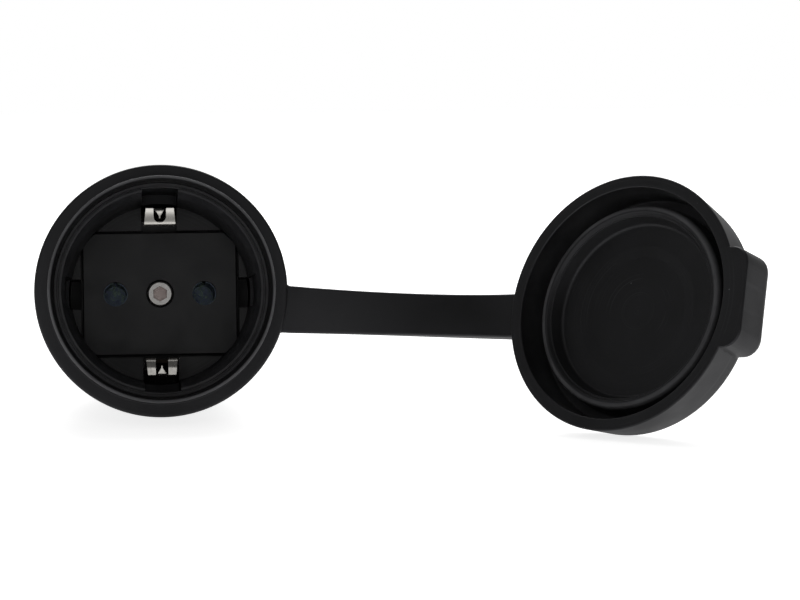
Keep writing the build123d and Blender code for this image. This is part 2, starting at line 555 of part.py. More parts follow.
# Cap, drawn closed over the collar: skirt outside the collar, sealing ring inside it.
# Depths are counted from the rim, which faces the shoulder.
RIM_Y = -CAP_SEAT_GAP
PANEL_R = 12.4
PANEL_SINK = 0.25
cap = turned([
    (CAP_BORE_R, RIM_Y, 0),
    (CAP_R - 0.2, RIM_Y, 0),
    (CAP_R, RIM_Y - 0.2, 0),
    (CAP_R - CAP_DRAFT, RIM_Y - CAP_DEPTH, 3.0),
    (0, RIM_Y - CAP_DEPTH, 0),
    (0, RIM_Y - CAP_FLOOR_DEPTH - PANEL_SINK, 0),
    (PANEL_R, RIM_Y - CAP_FLOOR_DEPTH - PANEL_SINK, 0),
    (PANEL_R + 0.4, RIM_Y - CAP_FLOOR_DEPTH, 0),
    (CAP_FLOOR_R, RIM_Y - CAP_FLOOR_DEPTH, 0),
    (CAP_RING_BORE_R, RIM_Y - CAP_RING_SETBACK - 0.2, 0),
    (CAP_RING_BORE_R + 0.4, RIM_Y - CAP_RING_SETBACK, 0),
    (CAP_RING_R - 0.2, RIM_Y - CAP_RING_SETBACK, 0),
    (CAP_RING_R, RIM_Y - CAP_RING_SETBACK - 1.6, 0),
    (CAP_RING_R + 0.3, RIM_Y - CAP_DEPTH + CAP_WALL, 0),
    (CAP_BORE_R - 0.2, RIM_Y - CAP_DEPTH + CAP_WALL, 0),
])
tab = block((CAP_R - 2.3, TAB_REACH), (RIM_Y - TAB_DEPTH, RIM_Y), (-TAB_WIDTH / 2, TAB_WIDTH / 2))
tab = fillet(tab.edges().filter_by(Axis.Y).group_by(Axis.X)[-1], 3.6)
tab = fillet(tab.faces().sort_by(Axis.Y)[0].edges().sort_by(Axis.X)[-3:], 2.2)
tab_core = rod(CAP_BORE_R + 0.6, RIM_Y - CAP_DEPTH, RIM_Y + 1)
cap += Rot(0, 180 - TAB_ANGLE, 0) * (tab - tab_core)
end_y = RIM_Y - STRAP_SETBACK
cap_lug = lug(CAP_BORE_R + 0.6, CAP_R - 0.5, STRAP_END_WIDTH, (end_y - STRAP_THICKNESS, end_y))
cap += cap_lug


# Opening of the cap, and the strap between the two lugs in that rest pose
hinge = Vector(*HINGE_POINT)
opening = Pos(hinge) * Location((0, 0, 0), HINGE_AXIS, OPEN_ANGLE) * Pos(-hinge)
cap = opening * cap

side_turn = Rot(0, -STRAP_ANGLE, 0)
root = side_turn * Pos(LUG_REACH, root_y + STRAP_THICKNESS / 2, STRAP_OFFSET)
end = opening * side_turn * Pos(LUG_REACH, end_y - STRAP_THICKNESS / 2, STRAP_OFFSET)
start_point = root.position
start_way = (root * Pos(1, 0, 0)).position - start_point
start_up = (root * Pos(0, 0, 1)).position - start_point
end_point = end.position
end_way = (end * Pos(-1, 0, 0)).position - end_point
end_up = (end * Pos(0, 0, 1)).position - end_point

STRAP_SECTIONS = 5
reach = (end_point - start_point).length
strap_sections = []
for index in range(STRAP_SECTIONS):
    t = index / (STRAP_SECTIONS - 1)
    start_share = (1 + 2 * t) * (1 - t) ** 2
    end_share = t ** 2 * (3 - 2 * t)
    centre = start_point * start_share + end_point * end_share
    centre += start_way * (t * (1 - t) ** 2 * reach) - end_way * (t ** 2 * (1 - t) * reach)
    way = (start_point * (6 * t ** 2 - 6 * t) + end_point * (6 * t - 6 * t ** 2)
           + start_way * ((3 * t ** 2 - 4 * t + 1) * reach) + end_way * ((3 * t ** 2 - 2 * t) * reach))
    upward = start_up * (1 - end_share) + end_up * end_share
    waist_share = 4 * t * (1 - t)
    width = STRAP_ROOT_WIDTH * (1 - t) + STRAP_END_WIDTH * t
    width += (STRAP_WAIST_WIDTH - (STRAP_ROOT_WIDTH + STRAP_END_WIDTH) / 2) * waist_share
    section_plane = Plane(origin=centre, x_dir=upward, z_dir=way)
    strap_sections.append(section_plane * Rectangle(width, STRAP_THICKNESS))
strap = loft(strap_sections)


nodes = {
    "housing": housing,
    "strap": strap,
    "cap": cap,
    "insert_pot": insert_pot,
    "contact_carrier": contact_carrier,
    "rear_cover": rear_cover,
    "line_contact_left": line_contacts["left"],
    "line_contact_right": line_contacts["right"],
    "sleeve_spring_left": sleeve_springs["left"],
    "sleeve_spring_right": sleeve_springs["right"],
    "line_screw_left": line_screws["left"],
    "line_screw_right": line_screws["right"],
    "earth_strap": earth_strap,
    "earth_screw": earth_screw,
    "earth_washer": earth_washer,
    "earth_nut": earth_nut,
    "centre_screw": centre_screw,
    "centre_nut": centre_nut,
    "clamp_bar": clamp_bar,
    "clamp_screw_left": clamp_screws["left"],
    "clamp_screw_right": clamp_screws["right"],
}

# Lying on its side: the rear edge of the band and the end of the neck touch the table
touch_span = HOUSING_LENGTH - NECK_END_LENGTH - BAND_LENGTH
PITCH = math.degrees(math.atan((BAND_REAR_R - NECK_END_R) / touch_span))
tilted = Compound(children=[Rot(-PITCH, 0, 0) * solid for solid in nodes.values()])
bounds = tilted.bounding_box()
centre = bounds.center()
lay_down = Pos(-centre.X, -centre.Y, -bounds.min.Z) * Rot(-PITCH, 0, 0)

for name, solid in nodes.items():
    export_step(lay_down * solid, f"parts/{name}.step")
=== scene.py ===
import json
import math

import bmesh
import bpy
from mathutils import Matrix, Vector


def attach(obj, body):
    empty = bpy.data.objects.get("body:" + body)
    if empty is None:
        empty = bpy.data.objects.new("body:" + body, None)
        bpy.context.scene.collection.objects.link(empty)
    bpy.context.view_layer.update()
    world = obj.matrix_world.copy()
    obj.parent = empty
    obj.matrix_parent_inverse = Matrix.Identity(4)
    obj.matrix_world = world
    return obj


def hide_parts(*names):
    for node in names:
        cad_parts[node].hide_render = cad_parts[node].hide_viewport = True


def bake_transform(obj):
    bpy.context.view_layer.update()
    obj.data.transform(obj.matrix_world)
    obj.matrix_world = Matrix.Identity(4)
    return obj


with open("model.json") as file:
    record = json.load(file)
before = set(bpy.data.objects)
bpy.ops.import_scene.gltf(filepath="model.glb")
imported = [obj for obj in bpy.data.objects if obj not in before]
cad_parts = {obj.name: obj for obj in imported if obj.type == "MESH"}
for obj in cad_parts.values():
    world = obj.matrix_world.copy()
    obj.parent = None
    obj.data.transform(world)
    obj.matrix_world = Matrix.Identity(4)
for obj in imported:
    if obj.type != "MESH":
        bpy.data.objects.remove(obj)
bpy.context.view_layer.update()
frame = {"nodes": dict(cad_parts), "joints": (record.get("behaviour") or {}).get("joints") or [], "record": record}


# The coupler's own frame: X runs from pin hole to pin hole, Y into the socket, Z up its face,
# and the origin lies on the axis in the plane of the shoulder. The two contact sleeves give it.
# Sizes in every section are millimetres in this frame, and the cap is drawn closed over the collar.
SLEEVE_MIDDLE_Y = 25.475

mounts = {mount["name"]: mount for mount in frame["record"]["mounts"]}
left_sleeve = Vector(mounts["line_sleeve_left"]["pos_m"])
right_sleeve = Vector(mounts["line_sleeve_right"]["pos_m"])
across = (right_sleeve - left_sleeve).normalized()
inward = -Vector(mounts["line_sleeve_left"]["axis"]).normalized()
upward = across.cross(inward)
socket_origin = (left_sleeve + right_sleeve) / 2 - inward * SLEEVE_MIDDLE_Y / 1000
coupler = Matrix((across, inward, upward)).transposed().to_4x4()
coupler.translation = socket_origin
coupler = coupler @ Matrix.Scale(0.001, 4)

bend = frame["joints"][0]
bend_point = Vector(bend["pos_m"])
bend_turn = Matrix.Rotation(math.radians(-bend["range_deg"][0]), 4, Vector(bend["axis"]))
opening = Matrix.Translation(bend_point) @ bend_turn @ Matrix.Translation(-bend_point)


# Housing: one injection-moulded black rubber body, from the collar and the shoulder round the
# socket, over the ribbed waist, to the slit neck that bends with the cord.
SHOULDER_R = 26.65
COLLAR_R = 23.7
COLLAR_BORE_R = 22.5
COLLAR_HEIGHT = 8.0
COLLAR_BEVEL_Y = -6.4
COLLAR_LIP, COLLAR_LIP_DEPTH = 0.6, 0.7
HIGHLIGHT_BAND_WIDTH = 0.33
BAND_LENGTH = 16.0
BAND_REAR_R = 25.6
WAIST_START = (24.3, 17.2)
WAIST_END = (21.3, 50.0)
NECK_START = (13.2, 74.0)
NECK_END = (12.4, 108.0)
FLARE_R = 14.36
FLARE_LENGTH = 6.0
HOUSING_LENGTH = 116.0
CORD_R = 5.2
SLIT_COUNT = 5
SLIT_PITCH = 5.2
SLIT_WIDTH = 1.6
SLIT_DEPTH = 1.8
LAST_SLIT_Y = 104.5
SLIT_BRIDGE_DEG = 10.2
SLIT_END_DEG = 0.1
SNAP_RING_R = 23.1
SNAP_RING_START_Y, SNAP_RING_END_Y = 6.9, 9.1
CHAMBER_R = 19.5
CHAMBER_START_Y, CHAMBER_END_Y = 17.4, 46.7
CLAMP_ROOM_R, CLAMP_ROOM_Y = 14.8, 59.2
CORD_BORE_START_Y = 71.2
PARTING_RIDGE = 0.07
PARTING_RIDGE_DEG = 0.7
COLUMN_STEP_DEG = 1.5
COLUMN_GAP_DEG = 0.4
MERGE_DISTANCE = 2e-6
# How much paler each tagged row is painted: a painted highlight along the collar's front edge and on the cap
# ring's crown, and painted light in the shaded groove of the cap
PALE_SHARES = {"worn": 0.9, "crown": 0.55, "groove": 0.28}


def linear(hex_colour):
    """sRGB hex colour as linear RGBA."""
    channels = [int(hex_colour[i:i + 2], 16) / 255 for i in (1, 3, 5)]
    return [c / 12.92 if c <= 0.04045 else ((c + 0.055) / 1.055) ** 2.4 for c in channels] + [1.0]


def node(tree, kind, inputs=None, **settings):
    """Adds one node with its settings; each input is a value or another node's output."""
    made = tree.nodes.new(kind)
    for key, value in settings.items():
        setattr(made, key, value)
    for key, value in (inputs or {}).items():
        if isinstance(value, bpy.types.NodeSocket):
            tree.links.new(value, made.inputs[key])
        else:
            made.inputs[key].default_value = value
    return made


def rounded(corners):
    """Closed or open outline of (radius, y, tag) points, each corner turned into an arc."""
    points = []
    for index, (r, y, fillet, tag) in enumerate(corners):
        here = Vector((r, y))
        back = Vector(corners[index - 1][:2]) - here
        ahead = Vector(corners[(index + 1) % len(corners)][:2]) - here
        if fillet == 0 or back.length == 0 or ahead.length == 0:
            points.append((r, y, tag))
            continue
        half_turn = (math.pi - back.angle(ahead)) / 2
        tangent = fillet * math.tan(half_turn)
        start, end = here + back.normalized() * tangent, here + ahead.normalized() * tangent
        middle = (back.normalized() + ahead.normalized()).normalized()
        centre = here + middle * math.hypot(fillet, tangent)
        steps = max(2, math.ceil(math.degrees(2 * half_turn) / 15))
        for step in range(steps + 1):
            arm = (start - centre).lerp(end - centre, step / steps)
            points.append((*(centre + arm.normalized() * fillet), tag))
    return points


def grid_mesh(name, rows, angles, shape):
    """Skin of revolution about Y; shape(radius, y, tag, angle) gives each point's radius.
    A row on the axis becomes a pole, and rows with no pole at either end close on themselves."""
    vertices, rings = [], []
    for r, y, tag in rows:
        if r == 0:
            rings.append([len(vertices)] * len(angles))
            vertices.append((0, y, 0))
            continue
        rings.append(range(len(vertices), len(vertices) + len(angles)))
        for angle in angles:
            out = shape(r, y, tag, angle)
            vertices.append((out * math.cos(math.radians(angle)), y, out * math.sin(math.radians(angle))))
    if rows[0][0] > 0:
        rings.append(rings[0])
    faces = []
    for lower, upper in zip(rings, rings[1:]):
        for k in range(len(angles)):
            j = (k + 1) % len(angles)
            face = (lower[k], lower[j], upper[j], upper[k])
            faces.append(tuple(dict.fromkeys(face)))
    mesh = bpy.data.meshes.new(name)
    mesh.from_pydata(vertices, [], faces)
    # Each row's tag gives its share of painted light from PALE_SHARES
    pale = mesh.attributes.new("pale", "FLOAT", "POINT")
    for ring, (_, _, tag) in zip(rings, rows):
        for index in ring:
            pale.data[index].value = PALE_SHARES.get(tag, 0.0)
    return mesh


def finished(name, mesh, placing, material, body, replaced=(), crease=32):
    """Places a mesh drawn in millimetres, turns its faces outwards and links it under its body, hiding the CAD
    nodes it replaces.
    """
    mesh.transform(placing)
    work = bmesh.new()
    work.from_mesh(mesh)
    bmesh.ops.remove_doubles(work, verts=work.verts, dist=MERGE_DISTANCE)
    bmesh.ops.recalc_face_normals(work, faces=work.faces)
    work.to_mesh(mesh)
    work.free()
    mesh.shade_smooth()
    mesh.set_sharp_from_angle(angle=math.radians(crease))
    mesh.materials.clear()
    mesh.materials.append(material)
    piece = bpy.data.objects.new(name, mesh)
    bpy.context.scene.collection.objects.link(piece)
    if body:
        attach(piece, body)
    if replaced:
        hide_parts(*replaced)
    return piece


# Moulded rubber, a carbon-black EPDM mix: a satin skin with a fine spark-eroded grain, slightly
# uneven in gloss where it left the mould, with a few specks of lint on it. Its gloss is a little
# cool. Round faces also carry faint rings from the turned mould, broken where hands have worn them.
RUBBER_COLOUR = "#121212"
RUBBER_PALE = "#1a1a1b"
RUBBER_GLOSS_TINT = "#f9f9ff"
RUBBER_GRAIN_MM = 0.45
RUBBER_CLOUD_MM = 9.0
RUBBER_ROUGHNESS = (0.46, 0.58)
NOISE_SPAN = {"From Min": 0.3, "From Max": 0.7}
LINT_SPACING_MM = 5.0
LINT_CELLS_BARE = 0.72
LINT_SIZE = 0.025
LINT_COLOUR = "#6e6e70"
MARK_SPACING_MM = 0.5
MARK_PATCH_MM = 11.0
RUBBER_MARK_STRENGTH = 0.12


def axis_space(tree, place, axis_frame):
    """Object coordinates turned into axis_frame, in millimetres, and the distance from its Y axis."""
    shift, turn, scale = axis_frame.inverted().decompose()
    centred = node(tree, "ShaderNodeMapping", {
        "Vector": place, "Location": shift, "Rotation": turn.to_euler(), "Scale": scale}).outputs["Vector"]
    apart = node(tree, "ShaderNodeSeparateXYZ", {"Vector": centred})
    flat = node(tree, "ShaderNodeCombineXYZ", {"X": apart.outputs["X"], "Y": apart.outputs["Z"]})
    reach = node(tree, "ShaderNodeVectorMath", {0: flat.outputs[0]}, operation="LENGTH")
    return centred, reach.outputs["Value"]


def mould_marks(tree, centred, reach, strength):
    """Faint rings round a piece's axis, from 0 to strength, in patches."""
    rings = node(tree, "ShaderNodeTexNoise", {"W": reach, "Scale": 1 / MARK_SPACING_MM, "Detail": 3.0,
                                              "Roughness": 0.7}, noise_dimensions="1D")
    patches = node(tree, "ShaderNodeTexNoise", {
        "Vector": centred, "Scale": 1 / MARK_PATCH_MM, "Detail": 1.0})
    lines = node(tree, "ShaderNodeMapRange", {
        "Value": rings.outputs["Fac"], "From Min": 0.56, "From Max": 0.72, "To Max": strength})
    worn = node(tree, "ShaderNodeMapRange", {
        "Value": patches.outputs["Fac"], "From Min": 0.46, "From Max": 0.6})
    return node(tree, "ShaderNodeMath", {0: lines.outputs["Result"], 1: worn.outputs["Result"]},
                operation="MULTIPLY").outputs[0]


def rubber_skin(name, axis_frame=None):
    """Material of the moulded rubber; axis_frame adds the rings of a turned mould round that axis."""
    material = bpy.data.materials.new(name)
    material.use_nodes = True
    tree = material.node_tree
    shader = tree.nodes["Principled BSDF"]
    place = node(tree, "ShaderNodeTexCoord").outputs["Object"]
    cloud = node(tree, "ShaderNodeTexNoise", {
        "Vector": place, "Scale": 1000 / RUBBER_CLOUD_MM, "Detail": 4.0})
    grain = node(tree, "ShaderNodeTexNoise", {
        "Vector": place, "Scale": 1000 / RUBBER_GRAIN_MM, "Detail": 2.0})
    cells = node(tree, "ShaderNodeTexVoronoi", {"Vector": place, "Scale": 1000 / LINT_SPACING_MM})
    chosen = node(tree, "ShaderNodeSeparateColor", {"Color": cells.outputs["Color"]})
    few = node(tree, "ShaderNodeMath", {0: chosen.outputs["Red"], 1: LINT_CELLS_BARE},
               operation="GREATER_THAN")
    small = node(tree, "ShaderNodeMath", {0: cells.outputs["Distance"], 1: LINT_SIZE},
                 operation="LESS_THAN")
    lint = node(tree, "ShaderNodeMath", {0: few.outputs[0], 1: small.outputs[0]}, operation="MULTIPLY")
    # The pale attribute paints a highlight on the collar's front edge and the cap ring's crown, and light into the
    # cap's shaded groove; the cloud makes it uneven
    edges = node(tree, "ShaderNodeAttribute", attribute_name="pale").outputs["Fac"]
    uneven = node(tree, "ShaderNodeMapRange", {
        **NOISE_SPAN, "Value": cloud.outputs["Fac"], "To Min": 0.6, "To Max": 1.4})
    painted_light = node(tree, "ShaderNodeMath", {0: edges, 1: uneven.outputs["Result"]}, operation="MULTIPLY")
    pale = node(tree, "ShaderNodeMath", {0: lint.outputs[0], 1: painted_light.outputs[0]},
                operation="MAXIMUM").outputs[0]
    if axis_frame:
        marks = mould_marks(tree, *axis_space(tree, place, axis_frame), RUBBER_MARK_STRENGTH)
        pale = node(tree, "ShaderNodeMath", {0: pale, 1: marks}, operation="MAXIMUM").outputs[0]
    skin = node(tree, "ShaderNodeMix", {"Factor": cloud.outputs["Fac"]}, data_type="RGBA")
    skin.inputs[6].default_value = linear(RUBBER_COLOUR)
    skin.inputs[7].default_value = linear(RUBBER_PALE)
    lint_marks_and_painted_light = node(tree, "ShaderNodeMix", {"Factor": pale}, data_type="RGBA")
    tree.links.new(skin.outputs[2], lint_marks_and_painted_light.inputs[6])
    lint_marks_and_painted_light.inputs[7].default_value = linear(LINT_COLOUR)
    gloss = node(tree, "ShaderNodeMapRange", {
        **NOISE_SPAN, "Value": cloud.outputs["Fac"],
        "To Min": RUBBER_ROUGHNESS[0], "To Max": RUBBER_ROUGHNESS[1]})
    bumps = node(tree, "ShaderNodeBump", {
        "Height": grain.outputs["Fac"], "Strength": 0.25, "Distance": 0.00005})
    tree.links.new(lint_marks_and_painted_light.outputs[2], shader.inputs["Base Color"])
    tree.links.new(gloss.outputs["Result"], shader.inputs["Roughness"])
    tree.links.new(bumps.outputs["Normal"], shader.inputs["Normal"])
    shader.inputs["IOR"].default_value = 1.5
    shader.inputs["Specular Tint"].default_value = linear(RUBBER_GLOSS_TINT)
    return material


rubber = rubber_skin("moulded_black_rubber")

slit_rows = []
for number in range(SLIT_COUNT):
    middle_y = LAST_SLIT_Y - (SLIT_COUNT - 1 - number) * SLIT_PITCH
    for offset, tag in ((-0.5, "skin"), (-0.49, f"slit{number}"), (0.49, f"slit{number}"), (0.5, "skin")):
        y = middle_y + offset * SLIT_WIDTH
        share = (y - NECK_START[1]) / (NECK_END[1] - NECK_START[1])
        slit_rows.append((NECK_START[0] + share * (NECK_END[0] - NECK_START[0]), y, 0, tag))

housing_outline = rounded([
    (COLLAR_BORE_R, COLLAR_BEVEL_Y, 0.3, "inside"),
    (COLLAR_R - COLLAR_LIP, -COLLAR_HEIGHT, 0, "front"),
    # These rows carry a painted highlight along the collar's front edge
    (COLLAR_R - HIGHLIGHT_BAND_WIDTH, -COLLAR_HEIGHT, 0, "worn"),
    (COLLAR_R, -COLLAR_HEIGHT, 0.25, "worn"),
    (COLLAR_R, COLLAR_LIP_DEPTH - COLLAR_HEIGHT, 0, "front"),
    (COLLAR_R, 0, 0.4, "front"),
    (SHOULDER_R, 0, 0.6, "front"),
    (BAND_REAR_R, BAND_LENGTH, 0.5, "skin"),
    (*WAIST_START, 0.5, "skin"),
    (*WAIST_END, 12.0, "skin"),
    (*NECK_START, 14.0, "skin"),
    *slit_rows,
    (*NECK_END, 2.0, "skin"),
    (FLARE_R, HOUSING_LENGTH - FLARE_LENGTH, 1.0, "skin"),
    (FLARE_R, HOUSING_LENGTH, 2.0, "skin"),
    (CORD_R, HOUSING_LENGTH, 0.6, "inside"),
    (CORD_R, CORD_BORE_START_Y, 2.0, "inside"),
    (CLAMP_ROOM_R, CLAMP_ROOM_Y, 3.0, "inside"),
    (CHAMBER_R, CHAMBER_END_Y, 0.5, "inside"),
    (CHAMBER_R, CHAMBER_START_Y, 0, "inside"),
    (COLLAR_BORE_R, CHAMBER_START_Y, 0, "inside"),
    (COLLAR_BORE_R, SNAP_RING_END_Y, 0, "inside"),
    (SNAP_RING_R, SNAP_RING_END_Y, 0, "inside"),
    (SNAP_RING_R, SNAP_RING_START_Y, 0, "inside"),
    (COLLAR_BORE_R, SNAP_RING_START_Y, 0, "inside"),
])
bridge_edges = [side + edge for side in (0, 90, 180, 270)
                for edge in (-SLIT_BRIDGE_DEG - SLIT_END_DEG, -SLIT_BRIDGE_DEG,
                             SLIT_BRIDGE_DEG, SLIT_BRIDGE_DEG + SLIT_END_DEG)]
ridge_edges = [side + edge for side in (0, 180) for edge in (-PARTING_RIDGE_DEG, 0, PARTING_RIDGE_DEG)]


def even_columns(edges):
    """Angles every COLUMN_STEP_DEG round the axis, with edges among them in place of their neighbours."""
    evenly = [step * COLUMN_STEP_DEG for step in range(int(360 / COLUMN_STEP_DEG))]
    kept = {angle for angle in evenly
            if all(abs((angle - edge + 180) % 360 - 180) > COLUMN_GAP_DEG for edge in edges)}
    return sorted({edge % 360 for edge in edges} | kept)


def housing_radius(r, y, tag, angle):
    """Radius of the housing's skin: cut back in a slit, a little proud along the parting line."""
    if tag.startswith("slit"):
        from_bridge = (angle - 90 * (1 + int(tag[4:]) % 2) + 90) % 180 - 90
        if abs(from_bridge) > SLIT_BRIDGE_DEG + SLIT_END_DEG / 2:
            return r - SLIT_DEPTH
    if tag == "skin" and angle % 180 == 0:
        return r + PARTING_RIDGE
    return r


housing_mesh = grid_mesh("housing_body", housing_outline, even_columns(bridge_edges + ridge_edges),
                         housing_radius)
finished("housing_body", housing_mesh, coupler, rubber, "housing", ["housing"])


# Grip ribs: 24 bars moulded along the waist, with soft feet and run-outs, so that a wet hand
# can pull the plug apart from the coupler. One bar is drawn and repeated round the axis.
RIB_COUNT = 24
RIB_START_Y = 19.5
RIB_END_Y = 48.0
RIB_RUN_OUT = 1.6
RIB_PROUD = 0.6
RIB_END_DROP = 0.15
RIB_HALF_SECTION = [(-1.3, -0.4), (-1.2, 0.0), (-0.98, 0.06), (-0.82, 0.25), (-0.72, 0.66),
                    (-0.5, 0.93), (-0.2, 1.0)]
RIB_STATIONS = 26

section = RIB_HALF_SECTION + [(-u, v) for u, v in reversed(RIB_HALF_SECTION)]
rib_vertices, rib_faces = [], []
for station in range(RIB_STATIONS + 1):
    along = 0.5 - 0.5 * math.cos(math.pi * station / RIB_STATIONS)
    y = RIB_START_Y + along * (RIB_END_Y - RIB_START_Y)
    nearest_end = min(y - RIB_START_Y, RIB_END_Y - y)
    rise = math.sin(math.pi / 2 * min(1, nearest_end / RIB_RUN_OUT))
    share = (y - WAIST_START[1]) / (WAIST_END[1] - WAIST_START[1])
    base = WAIST_START[0] + share * (WAIST_END[0] - WAIST_START[0])
    for u, v in section:
        height = v * RIB_PROUD * rise if v > 0 else v
        rib_vertices.append((u, y, base + height - RIB_END_DROP * (1 - rise)))
width = len(section)
for station in range(RIB_STATIONS):
    for k in range(width):
        j = (k + 1) % width
        low, high = station * width, (station + 1) * width
        rib_faces.append((low + k, low + j, high + j, high + k))
rib_faces.append(tuple(range(width)))
rib_faces.append(tuple(RIB_STATIONS * width + k for k in range(width)))
rib_mesh = bpy.data.meshes.new("grip_rib")
rib_mesh.from_pydata(rib_vertices, [], rib_faces)
rib_source = bpy.data.objects.new("grip_rib", rib_mesh)
bpy.context.scene.collection.objects.link(rib_source)

ring_tree = bpy.data.node_groups.new("ribs_round_the_waist", "GeometryNodeTree")
ring_tree.interface.new_socket("Geometry", in_out="INPUT", socket_type="NodeSocketGeometry")
count_socket = ring_tree.interface.new_socket("Rib count", in_out="INPUT", socket_type="NodeSocketInt")
first_socket = ring_tree.interface.new_socket("First rib", in_out="INPUT", socket_type="NodeSocketFloat")
finish_socket = ring_tree.interface.new_socket("Finish", in_out="INPUT", socket_type="NodeSocketMaterial")
ring_tree.interface.new_socket("Geometry", in_out="OUTPUT", socket_type="NodeSocketGeometry")
given = node(ring_tree, "NodeGroupInput")
line = node(ring_tree, "GeometryNodeMeshLine", {"Count": given.outputs["Rib count"], "Offset": (0, 0, 0)})
step_angle = node(ring_tree, "ShaderNodeMath", {0: 2 * math.pi, 1: given.outputs["Rib count"]},
                  operation="DIVIDE")
number = node(ring_tree, "GeometryNodeInputIndex")
turned = node(ring_tree, "ShaderNodeMath", {0: number.outputs[0], 1: step_angle.outputs[0],
                                            2: given.outputs["First rib"]}, operation="MULTIPLY_ADD")
about_axis = node(ring_tree, "ShaderNodeCombineXYZ", {"Y": turned.outputs[0]})
copies = node(ring_tree, "GeometryNodeInstanceOnPoints", {
    "Points": line.outputs["Mesh"], "Instance": given.outputs["Geometry"], "Rotation": about_axis.outputs[0]})
real = node(ring_tree, "GeometryNodeRealizeInstances", {"Geometry": copies.outputs["Instances"]})
painted = node(ring_tree, "GeometryNodeSetMaterial", {"Geometry": real.outputs[0],
                                                      "Material": given.outputs["Finish"]})
node(ring_tree, "NodeGroupOutput", {"Geometry": painted.outputs[0]})
repeat = rib_source.modifiers.new("ribs", "NODES")
repeat.node_group = ring_tree
repeat[count_socket.identifier] = RIB_COUNT
repeat[first_socket.identifier] = math.pi / RIB_COUNT
repeat[finish_socket.identifier] = rubber


def plain_mesh(source):
    """Result of an object's modifiers as a mesh; the object itself is removed."""
    evaluated = source.evaluated_get(bpy.context.evaluated_depsgraph_get())
    mesh = bpy.data.meshes.new_from_object(evaluated)
    source.modifiers.clear()
    bpy.data.objects.remove(source)
    return mesh


finished("grip_ribs", plain_mesh(rib_source), coupler, rubber, "housing")


# Insert pot: the recess that takes the plug, injection-moulded in black nylon, with guide walls,
# pockets for the plug's ribs and two channels for the earth clips. It snaps into the collar.
NYLON_COLOUR = "#0c0c0e"
NYLON_PALE = "#1a1a1d"
NYLON_MARK = "#5c5c60"
NYLON_MARK_STRENGTH = 0.18
SCUFFS_FROM_R, SCUFFS_FULL_R = 19.0, 19.6
SCUFF_STRENGTH = 0.4
SCUFF_MM = 3.0
NYLON_FLOW_MM = 7.0
NYLON_GRAIN_MM = 0.3
NYLON_ROUGHNESS = (0.42, 0.6)


def nylon_skin(name, axis_frame=None):
    """Material of the moulded nylon; axis_frame adds the rings of a turned mould round that axis."""
    material = bpy.data.materials.new(name)
    material.use_nodes = True
    tree = material.node_tree
    shader = tree.nodes["Principled BSDF"]
    place = node(tree, "ShaderNodeTexCoord").outputs["Object"]
    flow = node(tree, "ShaderNodeTexNoise", {"Vector": place, "Scale": 1000 / NYLON_FLOW_MM, "Detail": 5.0,
                                             "Distortion": 0.6})
    grain = node(tree, "ShaderNodeTexNoise", {"Vector": place, "Scale": 1000 / NYLON_GRAIN_MM, "Detail": 2.0})
    spread = node(tree, "ShaderNodeMapRange", {
        "Value": flow.outputs["Fac"], "From Min": 0.32, "From Max": 0.66})
    skin = node(tree, "ShaderNodeMix", {"Factor": spread.outputs["Result"]}, data_type="RGBA")
    skin.inputs[6].default_value = linear(NYLON_COLOUR)
    skin.inputs[7].default_value = linear(NYLON_PALE)
    colour = skin.outputs[2]
    if axis_frame:
        centred, reach = axis_space(tree, place, axis_frame)
        marks = mould_marks(tree, centred, reach, NYLON_MARK_STRENGTH)
        scuffs = node(tree, "ShaderNodeTexNoise", {"Vector": centred, "Scale": 1 / SCUFF_MM, "Detail": 3.0})
        on_wall = node(tree, "ShaderNodeMapRange", {
            "Value": reach, "From Min": SCUFFS_FROM_R, "From Max": SCUFFS_FULL_R, "To Max": SCUFF_STRENGTH})
        scuffed = node(tree, "ShaderNodeMath", {0: scuffs.outputs["Fac"], 1: on_wall.outputs["Result"]},
                       operation="MULTIPLY")
        marks = node(tree, "ShaderNodeMath", {0: marks, 1: scuffed.outputs[0]}, operation="ADD").outputs[0]
        ringed = node(tree, "ShaderNodeMix", {"Factor": marks, 6: colour}, data_type="RGBA")
        ringed.inputs[7].default_value = linear(NYLON_MARK)
        colour = ringed.outputs[2]
    gloss = node(tree, "ShaderNodeMapRange", {
        **NOISE_SPAN, "Value": flow.outputs["Fac"],
        "To Min": NYLON_ROUGHNESS[0], "To Max": NYLON_ROUGHNESS[1]})
    bumps = node(tree, "ShaderNodeBump", {
        "Height": grain.outputs["Fac"], "Strength": 0.12, "Distance": 0.00003})
    tree.links.new(colour, shader.inputs["Base Color"])
    tree.links.new(gloss.outputs["Result"], shader.inputs["Roughness"])
    tree.links.new(bumps.outputs["Normal"], shader.inputs["Normal"])
    shader.inputs["IOR"].default_value = 1.53
    shader.inputs["Specular IOR Level"].default_value = 0.4
    return material


nylon = nylon_skin("moulded_black_nylon")
turned_nylon = nylon_skin("moulded_black_nylon_turned", coupler)


def from_frame(name, cad_name, material, body="housing", crease=28):
    """Smooth-shaded piece from a copy of a CAD node, whose loose triangles are merged first."""
    mesh = frame["nodes"][cad_name].data.copy()
    mesh.name = name
    if "custom_normal" in mesh.attributes:
        mesh.attributes.remove(mesh.attributes["custom_normal"])
    return finished(name, mesh, Matrix.Identity(4), material, body, [cad_name], crease)


from_frame("recess_pot", "insert_pot", turned_nylon)


# Contact carrier, rear cover and clamp bar: black glass-filled nylon mouldings that hold the
# contacts and the cord. Only the carrier's nose with the pin holes shows in the recess.
from_frame("pin_face_carrier", "contact_carrier", nylon)
from_frame("terminal_cover", "rear_cover", nylon)
from_frame("cord_clamp_bar", "clamp_bar", nylon)


# Spring rings and earth nut: split rings of bright spring steel that keep the two contact sleeves
# closed, and the brass nut of the earth terminal. None of them shows from outside.
BRASS_COLOUR = "#c9a45a"
STEEL_COLOUR = "#a9a9ab"
TURNING_MM = 0.25


